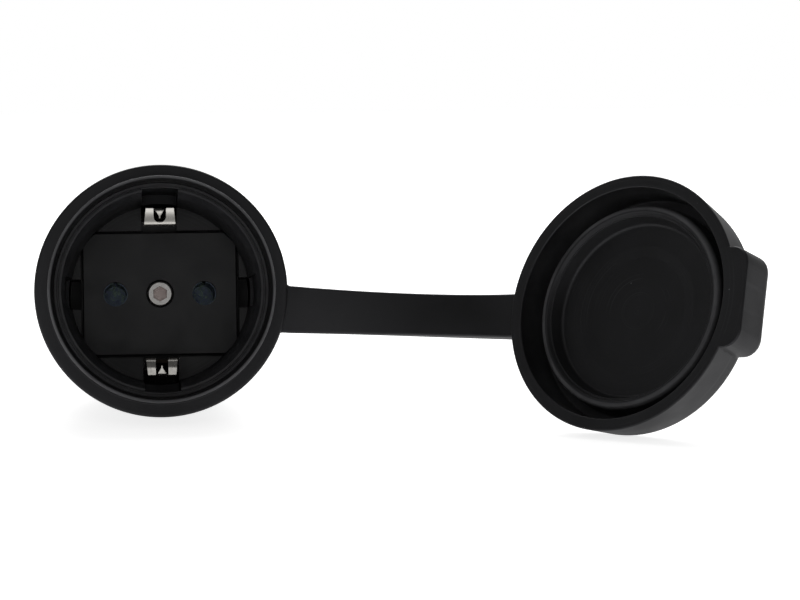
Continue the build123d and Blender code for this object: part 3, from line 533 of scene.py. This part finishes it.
def metal_skin(name, colour, mark_mm, smoothest, roughest, detail=4.0, metallic=1.0):
    """Metal whose gloss varies in marks of mark_mm; gives the material, its coordinates and the marks."""
    material = bpy.data.materials.new(name)
    material.use_nodes = True
    tree = material.node_tree
    shader = tree.nodes["Principled BSDF"]
    place = node(tree, "ShaderNodeTexCoord").outputs["Object"]
    marks = node(tree, "ShaderNodeTexNoise", {"Vector": place, "Scale": 1000 / mark_mm, "Detail": detail})
    gloss = node(tree, "ShaderNodeMapRange", {
        **NOISE_SPAN, "Value": marks.outputs["Fac"], "To Min": smoothest, "To Max": roughest})
    tree.links.new(gloss.outputs["Result"], shader.inputs["Roughness"])
    shader.inputs["Base Color"].default_value = linear(colour)
    shader.inputs["Metallic"].default_value = metallic
    return material, place, marks.outputs["Fac"]


brass, _, _ = metal_skin("turned_brass", BRASS_COLOUR, TURNING_MM, 0.22, 0.36, 3.0)
spring_steel, _, _ = metal_skin("bright_spring_steel", STEEL_COLOUR, TURNING_MM, 0.18, 0.32, 3.0)

for side in ("left", "right"):
    from_frame(f"sleeve_ring_{side}", f"sleeve_spring_{side}", spring_steel)
from_frame("earth_terminal_nut", "earth_nut", brass)


# Contact sleeves: turned and slit from brass, then nickel-plated. Their plating is painted dark, as
# shade deep in the pin holes, in greenish and bluish patches.
SLEEVE_SHADE_GREEN = "#46524c"
SLEEVE_SHADE_BLUE = "#5f677a"
SLEEVE_PATCH_MM = 1.4

shaded_sleeve_plating = bpy.data.materials.new("nickel_plating_painted_shade")
shaded_sleeve_plating.use_nodes = True
tree = shaded_sleeve_plating.node_tree
shader = tree.nodes["Principled BSDF"]
place = node(tree, "ShaderNodeTexCoord").outputs["Object"]
tint_patches = node(tree, "ShaderNodeTexNoise", {"Vector": place, "Scale": 1000 / SLEEVE_PATCH_MM, "Detail": 3.0,
                                          "Distortion": 1.2})
spread = node(tree, "ShaderNodeMapRange", {
    "Value": tint_patches.outputs["Fac"], "From Min": 0.4, "From Max": 0.62})
skin = node(tree, "ShaderNodeMix", {"Factor": spread.outputs["Result"]}, data_type="RGBA")
skin.inputs[6].default_value = linear(SLEEVE_SHADE_GREEN)
skin.inputs[7].default_value = linear(SLEEVE_SHADE_BLUE)
gloss = node(tree, "ShaderNodeMapRange", {
    **NOISE_SPAN, "Value": tint_patches.outputs["Fac"], "To Min": 0.2, "To Max": 0.5})
tree.links.new(skin.outputs[2], shader.inputs["Base Color"])
tree.links.new(gloss.outputs["Result"], shader.inputs["Roughness"])
shader.inputs["Metallic"].default_value = 1.0

for side in ("left", "right"):
    from_frame(f"contact_sleeve_{side}", f"line_contact_{side}", shaded_sleeve_plating)


# Earth strap: one stamping of nickel-plated brass, from clip to clip behind the carrier. Each clip
# has a flat lip, a slope and a coined crest, slit into two legs round a pointed tongue. The upper
# clip's slope is painted darker as shade; the lower slit's end and the tongues' roots are painted dark as shade.
NICKEL_COLOUR = "#dedbd5"
NICKEL_PAINTED_SHADE = "#7c7a76"
CLIP_SHADE_COLOUR = "#201c18"
STAMPING_MM = 1.1
SHADE_BAND_START_Z, SHADE_BAND_END_Z = (14.5, 15.1), (16.2, 17.0)
SHADE_BAND_STRENGTH = 0.75
SLIT_SHADE_REACH = 0.1
STRIP_THICKNESS = 0.7
STRIP_EDGE = 0.1
CLIP_CUT_Y = 7.4
CREST_Y, CREST_Z = 4.95, 14.27
CLIP_LINE = [(3.45, 17.7), (3.95, 16.1), (4.75, 14.85), (CREST_Y, CREST_Z), (8.1, 15.03)]
CLIP_BENDS = [0, 1.4, 0.4, 0.42, 0]
CLIP_LIP_HALF = 3.05
CLIP_CREST_HALF = 3.43
CLIP_WIDENING = 0.15
STRAP_HALF = 3.6
SLIT_HALF = 1.33
SLIT_FRONT_Y, SLIT_TOP_Z = 1.0, 19.0
UPPER_SLIT_END_Z, UPPER_SLIT_BACK_Y = 14.62, 6.0
LOWER_SLIT_END_Z, LOWER_SLIT_BACK_Y = 12.0, 6.6
TONGUE_LINE = [(10.2, 15.75), (6.9, 17.5), (5.5, 17.75), (5.9, 15.7)]
TONGUE_BENDS = [0, 0.8, 0.5, 0]
TONGUE_HALF = 1.15
TONGUE_THICKNESS = 0.5
TONGUE_POINT_FROM = 0.72
TONGUE_POINT_HALF = 0.22
TONGUE_ROOT_Y = 6.3
STRIP_STEP = 0.2

nickel, place, marks = metal_skin("nickel_plated_stamping", NICKEL_COLOUR, STAMPING_MM, 0.24, 0.36)
tree = nickel.node_tree
shader = tree.nodes["Principled BSDF"]
bumps = node(tree, "ShaderNodeBump", {"Height": marks, "Strength": 0.12, "Distance": 0.00003})
tree.links.new(bumps.outputs["Normal"], shader.inputs["Normal"])
centred, _ = axis_space(tree, place, coupler)
height = node(tree, "ShaderNodeSeparateXYZ", {"Vector": centred}).outputs["Z"]
# The upper clip is painted darker between its lip and slope, as shade
shade_band_start = node(tree, "ShaderNodeMapRange", {
    "Value": height, "From Min": SHADE_BAND_START_Z[0], "From Max": SHADE_BAND_START_Z[1], "To Max": SHADE_BAND_STRENGTH})
shade_band_end = node(tree, "ShaderNodeMapRange", {
    "Value": height, "From Min": SHADE_BAND_END_Z[0], "From Max": SHADE_BAND_END_Z[1], "To Min": 1.0, "To Max": 0.0})
shade_band = node(tree, "ShaderNodeMath", {0: shade_band_start.outputs["Result"], 1: shade_band_end.outputs["Result"]},
             operation="MULTIPLY")
tinted = node(tree, "ShaderNodeMix", {
    "Factor": shade_band.outputs[0], 6: linear(NICKEL_COLOUR), 7: linear(NICKEL_PAINTED_SHADE)}, data_type="RGBA")
tree.links.new(tinted.outputs[2], shader.inputs["Base Color"])

# Near-black painted shade for the lower slit's end and the tongues' roots
clip_shade, _, _ = metal_skin("painted_shade_on_clips", CLIP_SHADE_COLOUR, STAMPING_MM, 0.45, 0.65)


def strip_mesh(name, line, bends, thickness, half_width):
    """Bent sheet strip along (y, z) points; half_width(y, z, share) gives half its width."""
    bent = rounded([(y, z, bend, "line") for (y, z), bend in zip(line, bends)])
    points = []
    for (y0, z0, _), (y1, z1, _) in zip(bent, bent[1:]):
        steps = max(1, round(math.hypot(y1 - y0, z1 - z0) / STRIP_STEP))
        points += [(y0 + (y1 - y0) * k / steps, z0 + (z1 - z0) * k / steps) for k in range(steps)]
    points.append(bent[-1][:2])
    vertices, faces = [], []
    for index, (y, z) in enumerate(points):
        before = Vector(points[max(0, index - 1)])
        after = Vector(points[min(len(points) - 1, index + 1)])
        way = (after - before).normalized()
        half = half_width(y, z, index / (len(points) - 1))
        for side, level in ((1, 1), (1, -1), (-1, -1), (-1, 1)):
            inner, outer = (half - STRIP_EDGE, thickness / 2), (half, thickness / 2 - STRIP_EDGE)
            for x, n in ((inner, outer) if side * level > 0 else (outer, inner)):
                vertices.append((side * x, y + level * n * way.y, z - level * n * way.x))
    for ring in range(len(points) - 1):
        for k in range(8):
            j, low, high = (k + 1) % 8, ring * 8, ring * 8 + 8
            faces.append((low + k, low + j, high + j, high + k))
    faces += [tuple(range(8)), tuple(len(vertices) - 8 + k for k in range(8))]
    mesh = bpy.data.meshes.new(name)
    mesh.from_pydata(vertices, [], faces)
    return mesh


def outward(mesh):
    """Turns the faces of a closed mesh outwards."""
    work = bmesh.new()
    work.from_mesh(mesh)
    bmesh.ops.recalc_face_normals(work, faces=work.faces)
    work.to_mesh(mesh)
    work.free()
    return mesh


def clip_half(y, z, share):
    """Half the width of a clip: narrow at its lip, wider at the crest, full behind it."""
    if y > CREST_Y:
        return min(STRAP_HALF, CLIP_CREST_HALF + (y - CREST_Y) * CLIP_WIDENING)
    lip_z = CLIP_LINE[0][1]
    return CLIP_LIP_HALF + (lip_z - z) / (lip_z - CREST_Z) * (CLIP_CREST_HALF - CLIP_LIP_HALF)


def tongue_half(y, z, share):
    """Half the width of a tongue, which runs to a blunt point."""
    if share < TONGUE_POINT_FROM:
        return TONGUE_HALF
    return max(TONGUE_POINT_HALF, TONGUE_HALF * (1 - share) / (1 - TONGUE_POINT_FROM))


def slit_clip(slit_end_z, slit_back_y):
    """One clip with its slit cut from the lip to slit_end_z, and back to slit_back_y."""
    strip = strip_mesh("clip", CLIP_LINE, CLIP_BENDS, STRIP_THICKNESS, clip_half)
    plate = bpy.data.objects.new("clip", outward(strip))
    edge = [(SLIT_HALF * math.cos(turn), slit_end_z + SLIT_HALF - SLIT_HALF * math.sin(turn))
            for turn in (math.pi * k / 12 for k in range(13))]
    edge = [(SLIT_HALF, SLIT_TOP_Z)] + edge + [(-SLIT_HALF, SLIT_TOP_Z)]
    count = len(edge)
    block = bpy.data.meshes.new("slit")
    block.from_pydata([(x, y, z) for y in (SLIT_FRONT_Y, slit_back_y) for x, z in edge], [],
                      [tuple(range(count)), tuple(range(count, 2 * count))]
                      + [(k, (k + 1) % count, count + (k + 1) % count, count + k) for k in range(count)])
    cutter = bpy.data.objects.new("slit", outward(block))
    for piece in (plate, cutter):
        bpy.context.scene.collection.objects.link(piece)
    cut = plate.modifiers.new("slit", "BOOLEAN")
    cut.operation, cut.solver, cut.object = "DIFFERENCE", "EXACT", cutter
    mesh = plain_mesh(plate)
    bpy.data.objects.remove(cutter)
    return mesh


stamping = bmesh.new()
stamping.from_mesh(frame["nodes"]["earth_strap"].data)
bmesh.ops.remove_doubles(stamping, verts=stamping.verts, dist=MERGE_DISTANCE)
cut_point = coupler @ Vector((0, CLIP_CUT_Y, 0))
bmesh.ops.bisect_plane(stamping, geom=stamping.verts[:] + stamping.edges[:] + stamping.faces[:], dist=1e-7,
                       plane_co=cut_point, plane_no=inward, clear_inner=True)
bmesh.ops.holes_fill(stamping, edges=[edge for edge in stamping.edges if edge.is_boundary])
for turn, slit_end, slit_back in ((0, UPPER_SLIT_END_Z, UPPER_SLIT_BACK_Y),
                                  (180, LOWER_SLIT_END_Z, LOWER_SLIT_BACK_Y)):
    placing = coupler @ Matrix.Rotation(math.radians(turn), 4, "Y")
    for mesh in (slit_clip(slit_end, slit_back),
                 strip_mesh("tongue", TONGUE_LINE, TONGUE_BENDS, TONGUE_THICKNESS, tongue_half)):
        mesh.transform(placing)
        stamping.from_mesh(mesh)
stamping_mesh = bpy.data.meshes.new("earth_clip_stamping")
stamping.to_mesh(stamping_mesh)
stamping.free()
if "custom_normal" in stamping_mesh.attributes:
    stamping_mesh.attributes.remove(stamping_mesh.attributes["custom_normal"])
finished("earth_clip_stamping", stamping_mesh, Matrix.Identity(4), nickel, "housing",
         ["earth_strap"], crease=35)
# Faces behind the lower slit and at the tongues' roots get the painted shade
stamping_mesh.materials.append(clip_shade)
for face in stamping_mesh.polygons:
    spot = coupler.inverted() @ face.center
    behind_slit = abs(spot.x) < SLIT_HALF and spot.z < 0 and abs(spot.y - LOWER_SLIT_BACK_Y) < SLIT_SHADE_REACH
    tongue_root = abs(spot.x) < TONGUE_HALF + 0.02 and TONGUE_ROOT_Y < spot.y < TONGUE_LINE[0][0]
    if (behind_slit or tongue_root) and abs(spot.z) > CREST_Z:
        face.material_index = 1


# Screws, washer and nut: zinc-plated steel, each one turned home. The hexagon socket screw
# between the pin holes draws the carrier and its cover together.
ZINC_COLOUR = "#bdbbb8"
PLATING_MM = 0.8

zinc, _, _ = metal_skin("zinc_plated_steel", ZINC_COLOUR, PLATING_MM, 0.3, 0.45)
for piece, cad_name in (("hexagon_socket_screw", "centre_screw"), ("carrier_nut", "centre_nut"),
                        ("earth_terminal_screw", "earth_screw"), ("earth_terminal_washer", "earth_washer"),
                        ("line_terminal_screw_left", "line_screw_left"),
                        ("line_terminal_screw_right", "line_screw_right"),
                        ("cord_clamp_screw_left", "clamp_screw_left"),
                        ("cord_clamp_screw_right", "clamp_screw_right")):
    from_frame(piece, cad_name, zinc)


# Hexagon socket: its floor and sides are painted a darker, brownish and uneven steel, as shade in
# the recess; they still shine as metal.
SOCKET_SHADE_COLOUR = "#a29591"
HEAD_Y = 14.4
SOCKET_R = 1.75
SOCKET_DEPTH = 2.2

socket_shade, _, _ = metal_skin("steel_with_painted_socket_shade", SOCKET_SHADE_COLOUR, PLATING_MM, 0.2, 0.5, metallic=0.8)
head = bpy.data.objects["hexagon_socket_screw"].data
head.materials.append(socket_shade)
# Faces inside the socket get the painted shade
for face in head.polygons:
    spot = coupler.inverted() @ face.center
    if math.hypot(spot.x, spot.z) < SOCKET_R and HEAD_Y + 0.05 < spot.y < HEAD_Y + SOCKET_DEPTH:
        face.material_index = 1


# Cap: a round rubber lid with an outer skirt that goes over the collar, a sealing ring that goes
# into it, and a grip tab opposite the strap. It is moulded in one with the strap.
CAP_R = 26.75
CAP_DRAFT = 1.6
CAP_BORE_R = 24.2
CAP_DEPTH = 11.5
CAP_BACK_ROUND = 3.0
RIM_Y = -0.4
RING_R = 21.5
RING_BORE_R = 19.4
RING_SETBACK = 3.03
GROOVE_DEPTH = 8.8
CAP_FLOOR_R = 18.2
CAP_FLOOR_DEPTH = 6.5
PANEL_R = 12.4
PANEL_SINK = 0.25
PANEL_SLOPE = 1.2
PANEL_FILLET = 4.0
RING_STEP = 0.7
CAP_RIM_ROUND = 0.3
TAB_ANGLE = 174.0
TAB_HALF_WIDTH = 10.3
TAB_REACH = 29.2
TAB_CORNER = 3.6
TAB_DEPTH = 9.6
TAB_BACK_ROUND = 2.2
TAB_EDGES_DEG = [13.1, 15.0, 17.0, 18.5, 19.7, 20.6, 21.3, 21.8, 22.15, 22.5, 22.8, 23.1, 23.4, 23.7, 24.0]

draft = math.atan(CAP_DRAFT / CAP_DEPTH)
round_depth = CAP_DEPTH - CAP_BACK_ROUND
round_r = CAP_R - CAP_DRAFT * round_depth / CAP_DEPTH - CAP_BACK_ROUND / math.cos(draft)
# The wall's rows lie closer together where the tab's back is rounded
wall_depths = [0.5 + 0.6 * k for k in range(12)] + [7.4 + 0.25 * k for k in range(7)]
round_turns = [draft + (math.pi / 2 - draft) * k / 10 for k in range(11)]
wall_points = [(CAP_R - CAP_DRAFT * depth / CAP_DEPTH, depth) for depth in wall_depths]
wall_points += [(round_r + CAP_BACK_ROUND * math.cos(turn), round_depth + CAP_BACK_ROUND * math.sin(turn))
                for turn in round_turns]
wall_points += [(round_r + math.sqrt(CAP_BACK_ROUND ** 2 - (depth - round_depth) ** 2), depth)
                for depth in (TAB_DEPTH, TAB_DEPTH + 0.01)]
wall_points.sort(key=lambda point: point[1])

cap_outline = [(0, RIM_Y - CAP_FLOOR_DEPTH - PANEL_SINK, "inside")] + rounded([
    (6.0, RIM_Y - CAP_FLOOR_DEPTH - PANEL_SINK, 0, "inside"),
    (PANEL_R - PANEL_SLOPE, RIM_Y - CAP_FLOOR_DEPTH - PANEL_SINK, PANEL_FILLET, "inside"),
    (PANEL_R + PANEL_SLOPE, RIM_Y - CAP_FLOOR_DEPTH, PANEL_FILLET, "inside"),
    (CAP_FLOOR_R, RIM_Y - CAP_FLOOR_DEPTH, 0.8, "inside"),
    (RING_BORE_R - 0.25, RIM_Y - RING_SETBACK - RING_STEP, 0.15, "inside"),
    (RING_BORE_R, RIM_Y - RING_SETBACK - RING_STEP, 0.1, "inside"),
    (RING_BORE_R + 0.5, RIM_Y - RING_SETBACK, 0.4, "inside"),
    # The ring's crown carries a painted highlight
    (RING_BORE_R + 1.0, RIM_Y - RING_SETBACK, 0, "crown"),
    (RING_R - 0.5, RIM_Y - RING_SETBACK, 0.6, "crown"),
    (RING_R, RIM_Y - RING_SETBACK - 1.1, 0.5, "inside"),
    # The groove's floor carries painted light in its shade
    (RING_R + 0.2, RIM_Y - GROOVE_DEPTH, 0.5, "groove"),
    (CAP_BORE_R - 0.2, RIM_Y - GROOVE_DEPTH, 0.5, "groove"),
    (CAP_BORE_R, RIM_Y, CAP_RIM_ROUND, "inside"),
    (CAP_R, RIM_Y, CAP_RIM_ROUND, "wall"),
    *[(r, RIM_Y - depth, 0, "wall") for r, depth in wall_points],
    (12.0, RIM_Y - CAP_DEPTH, 0, "inside"),
    (6.0, RIM_Y - CAP_DEPTH, 0, "inside"),
]) + [(0, RIM_Y - CAP_DEPTH, "inside")]


def tab_reach(from_tab):
    """Radius of the tab's outline at an angle from its middle, in degrees."""
    bearing = math.radians(abs(from_tab))
    way = Vector((math.cos(bearing), math.sin(bearing)))
    corner = Vector((TAB_REACH - TAB_CORNER, TAB_HALF_WIDTH - TAB_CORNER))
    flat = TAB_REACH / way.x
    if flat * way.y <= corner.y:
        return flat
    side = TAB_HALF_WIDTH / way.y
    if side * way.x <= corner.x:
        return side
    return way.dot(corner) + math.sqrt(TAB_CORNER ** 2 - way.cross(corner) ** 2)


def cap_radius(r, y, tag, angle):
    """Radius of the cap's skin, with the grip tab standing out of its wall."""
    from_tab = (angle - TAB_ANGLE + 180) % 360 - 180
    depth = RIM_Y - y
    if tag != "wall" or abs(from_tab) > TAB_EDGES_DEG[-1] or depth > TAB_DEPTH + 0.005:
        return r
    rounding = min(1.0, max(0.0, (depth - TAB_DEPTH + TAB_BACK_ROUND) / TAB_BACK_ROUND))
    drawn_in = TAB_BACK_ROUND * (1 - math.sqrt(1 - rounding ** 2))
    edge_in = max(0.0, CAP_RIM_ROUND - depth)
    return max(r, tab_reach(from_tab) - drawn_in - edge_in)


tab_columns = [TAB_ANGLE + side * edge for side in (-1, 1) for edge in TAB_EDGES_DEG]
cap_rubber = rubber_skin("moulded_black_rubber_turned", opening @ coupler)
finished("cap_lid", grid_mesh("cap_lid", cap_outline, even_columns(tab_columns), cap_radius),
         opening @ coupler, cap_rubber, "cap", ["cap"])


# Strap: the flat rubber band between shoulder and cap rim, moulded with both a little beside
# their middle. It leaves each with a small flare and is narrower in the middle, where it bends.
STRAP_THICKNESS = 2.5
STRAP_ROOT_WIDTH = 9.9
STRAP_WAIST_WIDTH = 8.9
STRAP_END_WIDTH = 9.3
STRAP_EDGE_ROUND = 0.45
STRAP_ANGLE = -3.75
STRAP_OFFSET = -2.5
STRAP_SETBACK = 0.8
STRAP_FLARE = 1.1
STRAP_REACH = 28.0
STRAP_SUNK_X = 24.9
STRAP_STATIONS = 60
STRAP_END_STATIONS = 25
STRAP_SKIN_GAP = 0.02
ROOT_SINK, END_SINK = 0.25, 0.5

side_turn = Matrix.Rotation(math.radians(-STRAP_ANGLE), 4, "Y")
middle_y = STRAP_SETBACK + STRAP_THICKNESS / 2
root_frame = side_turn @ Matrix.Translation((STRAP_REACH, middle_y, STRAP_OFFSET))
to_coupler = coupler.inverted() @ opening @ coupler
end_frame = to_coupler @ side_turn @ Matrix.Translation((STRAP_REACH, RIM_Y - middle_y, STRAP_OFFSET))
start_point, end_point = root_frame.translation, end_frame.translation
start_way, start_up = root_frame.col[0].xyz.normalized(), root_frame.col[2].xyz.normalized()
end_way, end_up = -end_frame.col[0].xyz.normalized(), end_frame.col[2].xyz.normalized()
reach = (end_point - start_point).length
lead = STRAP_REACH - STRAP_SUNK_X


def feet(rim_r, width):
    """Distances from the axis at which the two edges of the strap meet a round rim."""
    levels = [STRAP_OFFSET + side * (width / 2 + STRAP_FLARE) for side in (-1, 1)]
    return [math.sqrt(rim_r ** 2 - level ** 2) for level in levels]


root_feet = feet(SHOULDER_R - ROOT_SINK, STRAP_ROOT_WIDTH)
end_feet = feet(CAP_R - END_SINK, STRAP_END_WIDTH)


def half_widths(from_root, from_end, along):
    """Lower and upper half of the strap's width, which flares where it meets the two rims."""
    width = STRAP_ROOT_WIDTH * (1 - along) + STRAP_END_WIDTH * along
    width += (STRAP_WAIST_WIDTH - (STRAP_ROOT_WIDTH + STRAP_END_WIDTH) / 2) * 4 * along * (1 - along)
    halves = []
    for side in (0, 1):
        half = width / 2
        for distance, foot in ((from_root, root_feet[side]), (from_end, end_feet[side])):
            rest = min(STRAP_FLARE, max(0.0, foot + STRAP_FLARE - distance))
            half += STRAP_FLARE - math.sqrt(STRAP_FLARE ** 2 - rest ** 2)
        halves.append(half)
    return halves


stations = []
for k in range(STRAP_END_STATIONS):
    out = lead * k / STRAP_END_STATIONS
    middle = start_point - start_way * (lead - out)
    stations.append((middle, start_way, start_up, STRAP_SUNK_X + out, reach, 0.0))
for k in range(STRAP_STATIONS + 1):
    t = k / STRAP_STATIONS
    start_share, end_share = (1 + 2 * t) * (1 - t) ** 2, t ** 2 * (3 - 2 * t)
    middle = (start_point * start_share + end_point * end_share
              + start_way * (t * (1 - t) ** 2 * reach) - end_way * (t ** 2 * (1 - t) * reach))
    way = (start_point * (6 * t ** 2 - 6 * t) + end_point * (6 * t - 6 * t ** 2)
           + start_way * ((3 * t ** 2 - 4 * t + 1) * reach) + end_way * ((3 * t ** 2 - 2 * t) * reach))
    up = start_up.lerp(end_up, end_share)
    stations.append((middle, way.normalized(), up, STRAP_REACH + t * reach, STRAP_REACH + (1 - t) * reach, t))
for k in range(1, STRAP_END_STATIONS + 1):
    gone = lead * k / STRAP_END_STATIONS
    stations.append((end_point + end_way * gone, end_way, end_up, reach, STRAP_REACH - gone, 1.0))

strap_vertices, strap_faces = [], []
corner_arc = [math.radians(15 * step) for step in range(7)]
for middle, way, up, from_root, from_end, along in stations:
    across_strap = up.cross(way).normalized()
    up = way.cross(across_strap).normalized()
    low_half, high_half = half_widths(from_root, from_end, along)
    half_t = STRAP_THICKNESS / 2 - STRAP_SKIN_GAP
    for quarter in range(4):
        sign_w, sign_t = ((1, 1), (-1, 1), (-1, -1), (1, -1))[quarter]
        half_w = high_half if sign_w > 0 else low_half
        for turn in corner_arc:
            turn = turn + quarter * math.pi / 2
            w = sign_w * (half_w - STRAP_EDGE_ROUND) + STRAP_EDGE_ROUND * math.cos(turn)
            depth = sign_t * (half_t - STRAP_EDGE_ROUND) + STRAP_EDGE_ROUND * math.sin(turn)
            strap_vertices.append(middle + up * w + across_strap * depth)
width = 4 * len(corner_arc)
for station in range(len(stations) - 1):
    for k in range(width):
        j = (k + 1) % width
        low, high = station * width, (station + 1) * width
        strap_faces.append((low + k, low + j, high + j, high + k))
strap_faces.append(tuple(range(width)))
strap_faces.append(tuple((len(stations) - 1) * width + k for k in range(width)))
strap_mesh = bpy.data.meshes.new("cap_strap")
strap_mesh.from_pydata(strap_vertices, [], strap_faces)
strap = finished("cap_strap", strap_mesh, coupler, rubber, None, ["strap"])
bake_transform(strap)


# Studio: a white table in a white room that is brightest behind the object, with one large soft
# lamp behind and above it, a small one in front and above, and a weak fill beside the camera.
FLOOR_COLOUR = "#f4f4f4"
FLOOR_HALF = 3.0
FLOOR_SEEN = 0.8
FLOOR_REFLECTED = 0.5
ROOM_FRONT_Y, ROOM_BACK_Y = -0.4, 0.8
FRONT_LEVEL = 0.055
BACK_LEVEL = 0.5
LAMP_AIM = (0, -0.02, 0.03)
# Each lamp's name, place and size in metres, and power in watts
LAMPS = (
    ("back_softbox", (0.1, 0.75, 0.75), 1.0, 7.0),
    ("front_softbox", (-0.15, -0.72, 0.5), 0.45, 0.5),
    ("camera_fill", (-0.08, -0.85, 0.12), 0.3, 0.15),
)

floor_mesh = bpy.data.meshes.new("studio_floor")
floor_mesh.from_pydata([(-FLOOR_HALF, -FLOOR_HALF, 0), (FLOOR_HALF, -FLOOR_HALF, 0),
                        (FLOOR_HALF, FLOOR_HALF, 0), (-FLOOR_HALF, FLOOR_HALF, 0)], [], [(0, 1, 2, 3)])
floor_paint = bpy.data.materials.new("white_table")
floor_paint.use_nodes = True
tree = floor_paint.node_tree
shader = tree.nodes["Principled BSDF"]
shader.inputs["Base Color"].default_value = linear(FLOOR_COLOUR)
shader.inputs["Roughness"].default_value = 0.9
seen = node(tree, "ShaderNodeLightPath")
seen_lift = node(tree, "ShaderNodeMath", {0: seen.outputs["Is Camera Ray"], 1: FLOOR_SEEN},
                 operation="MULTIPLY")
lift_level = node(tree, "ShaderNodeMath", {
    0: seen.outputs["Is Glossy Ray"], 1: FLOOR_REFLECTED, 2: seen_lift.outputs[0]}, operation="MULTIPLY_ADD")
lift = node(tree, "ShaderNodeEmission", {"Color": (1, 1, 1, 1), "Strength": lift_level.outputs[0]})
both = node(tree, "ShaderNodeAddShader", {0: shader.outputs[0], 1: lift.outputs[0]})
tree.links.new(both.outputs[0], tree.nodes["Material Output"].inputs["Surface"])
floor_mesh.materials.append(floor_paint)
floor = bpy.data.objects.new("studio_floor", floor_mesh)
bpy.context.scene.collection.objects.link(floor)

world = bpy.data.worlds.new("studio")
bpy.context.scene.world = world
world.use_nodes = True
tree = world.node_tree
background = tree.nodes["Background"]
background.inputs["Color"].default_value = (1, 1, 1, 1)
seen = node(tree, "ShaderNodeLightPath")
way = node(tree, "ShaderNodeSeparateXYZ", {"Vector": node(tree, "ShaderNodeTexCoord").outputs["Generated"]})
room = node(tree, "ShaderNodeMapRange", {
    "Value": way.outputs["Y"], "From Min": ROOM_FRONT_Y, "From Max": ROOM_BACK_Y,
    "To Min": FRONT_LEVEL, "To Max": BACK_LEVEL}, interpolation_type="SMOOTHSTEP")
level = node(tree, "ShaderNodeMath", {0: room.outputs["Result"], 1: seen.outputs["Is Camera Ray"]},
             operation="MAXIMUM")
tree.links.new(level.outputs[0], background.inputs["Strength"])

for name, spot, size, power in LAMPS:
    lamp = bpy.data.lights.new(name, "AREA")
    lamp.shape = "SQUARE"
    lamp.size = size
    lamp.energy = power
    holder = bpy.data.objects.new(name, lamp)
    holder.location = spot
    holder.visible_camera = False
    holder.rotation_euler = (Vector(LAMP_AIM) - Vector(spot)).to_track_quat("-Z", "Y").to_euler()
    bpy.context.scene.collection.objects.link(holder)


# Camera: a little above the table and to the left of the middle, about 0.7 m away, with the
# narrow view of a long lens. Its place was fitted to the rims and pin holes of the photograph.
CAMERA_AIM = (0.00378, -0.03, 0.02529)
CAMERA_DISTANCE = 0.7047
CAMERA_AZIMUTH = 5.149
CAMERA_ELEVATION = 4.471
CAMERA_ROLL = -0.4355
CAMERA_VIEW = 13.676

camera = bpy.data.cameras.new("camera")
camera.sensor_fit = "HORIZONTAL"
camera.lens_unit = "FOV"
camera.angle = math.radians(CAMERA_VIEW)
camera.clip_start = 0.01
viewer = bpy.data.objects.new("camera", camera)
azimuth, elevation = math.radians(CAMERA_AZIMUTH), math.radians(CAMERA_ELEVATION)
towards = Vector((-math.sin(azimuth) * math.cos(elevation), -math.cos(azimuth) * math.cos(elevation),
                  math.sin(elevation)))
turn = (-towards).to_track_quat("-Z", "Y").to_matrix() @ Matrix.Rotation(math.radians(CAMERA_ROLL), 3, "Z")
viewer.matrix_world = Matrix.Translation(Vector(CAMERA_AIM) + towards * CAMERA_DISTANCE) @ turn.to_4x4()
bpy.context.scene.collection.objects.link(viewer)
bpy.context.scene.camera = viewer
bpy.context.scene.view_settings.view_transform = "Standard"


bpy.context.view_layer.update()
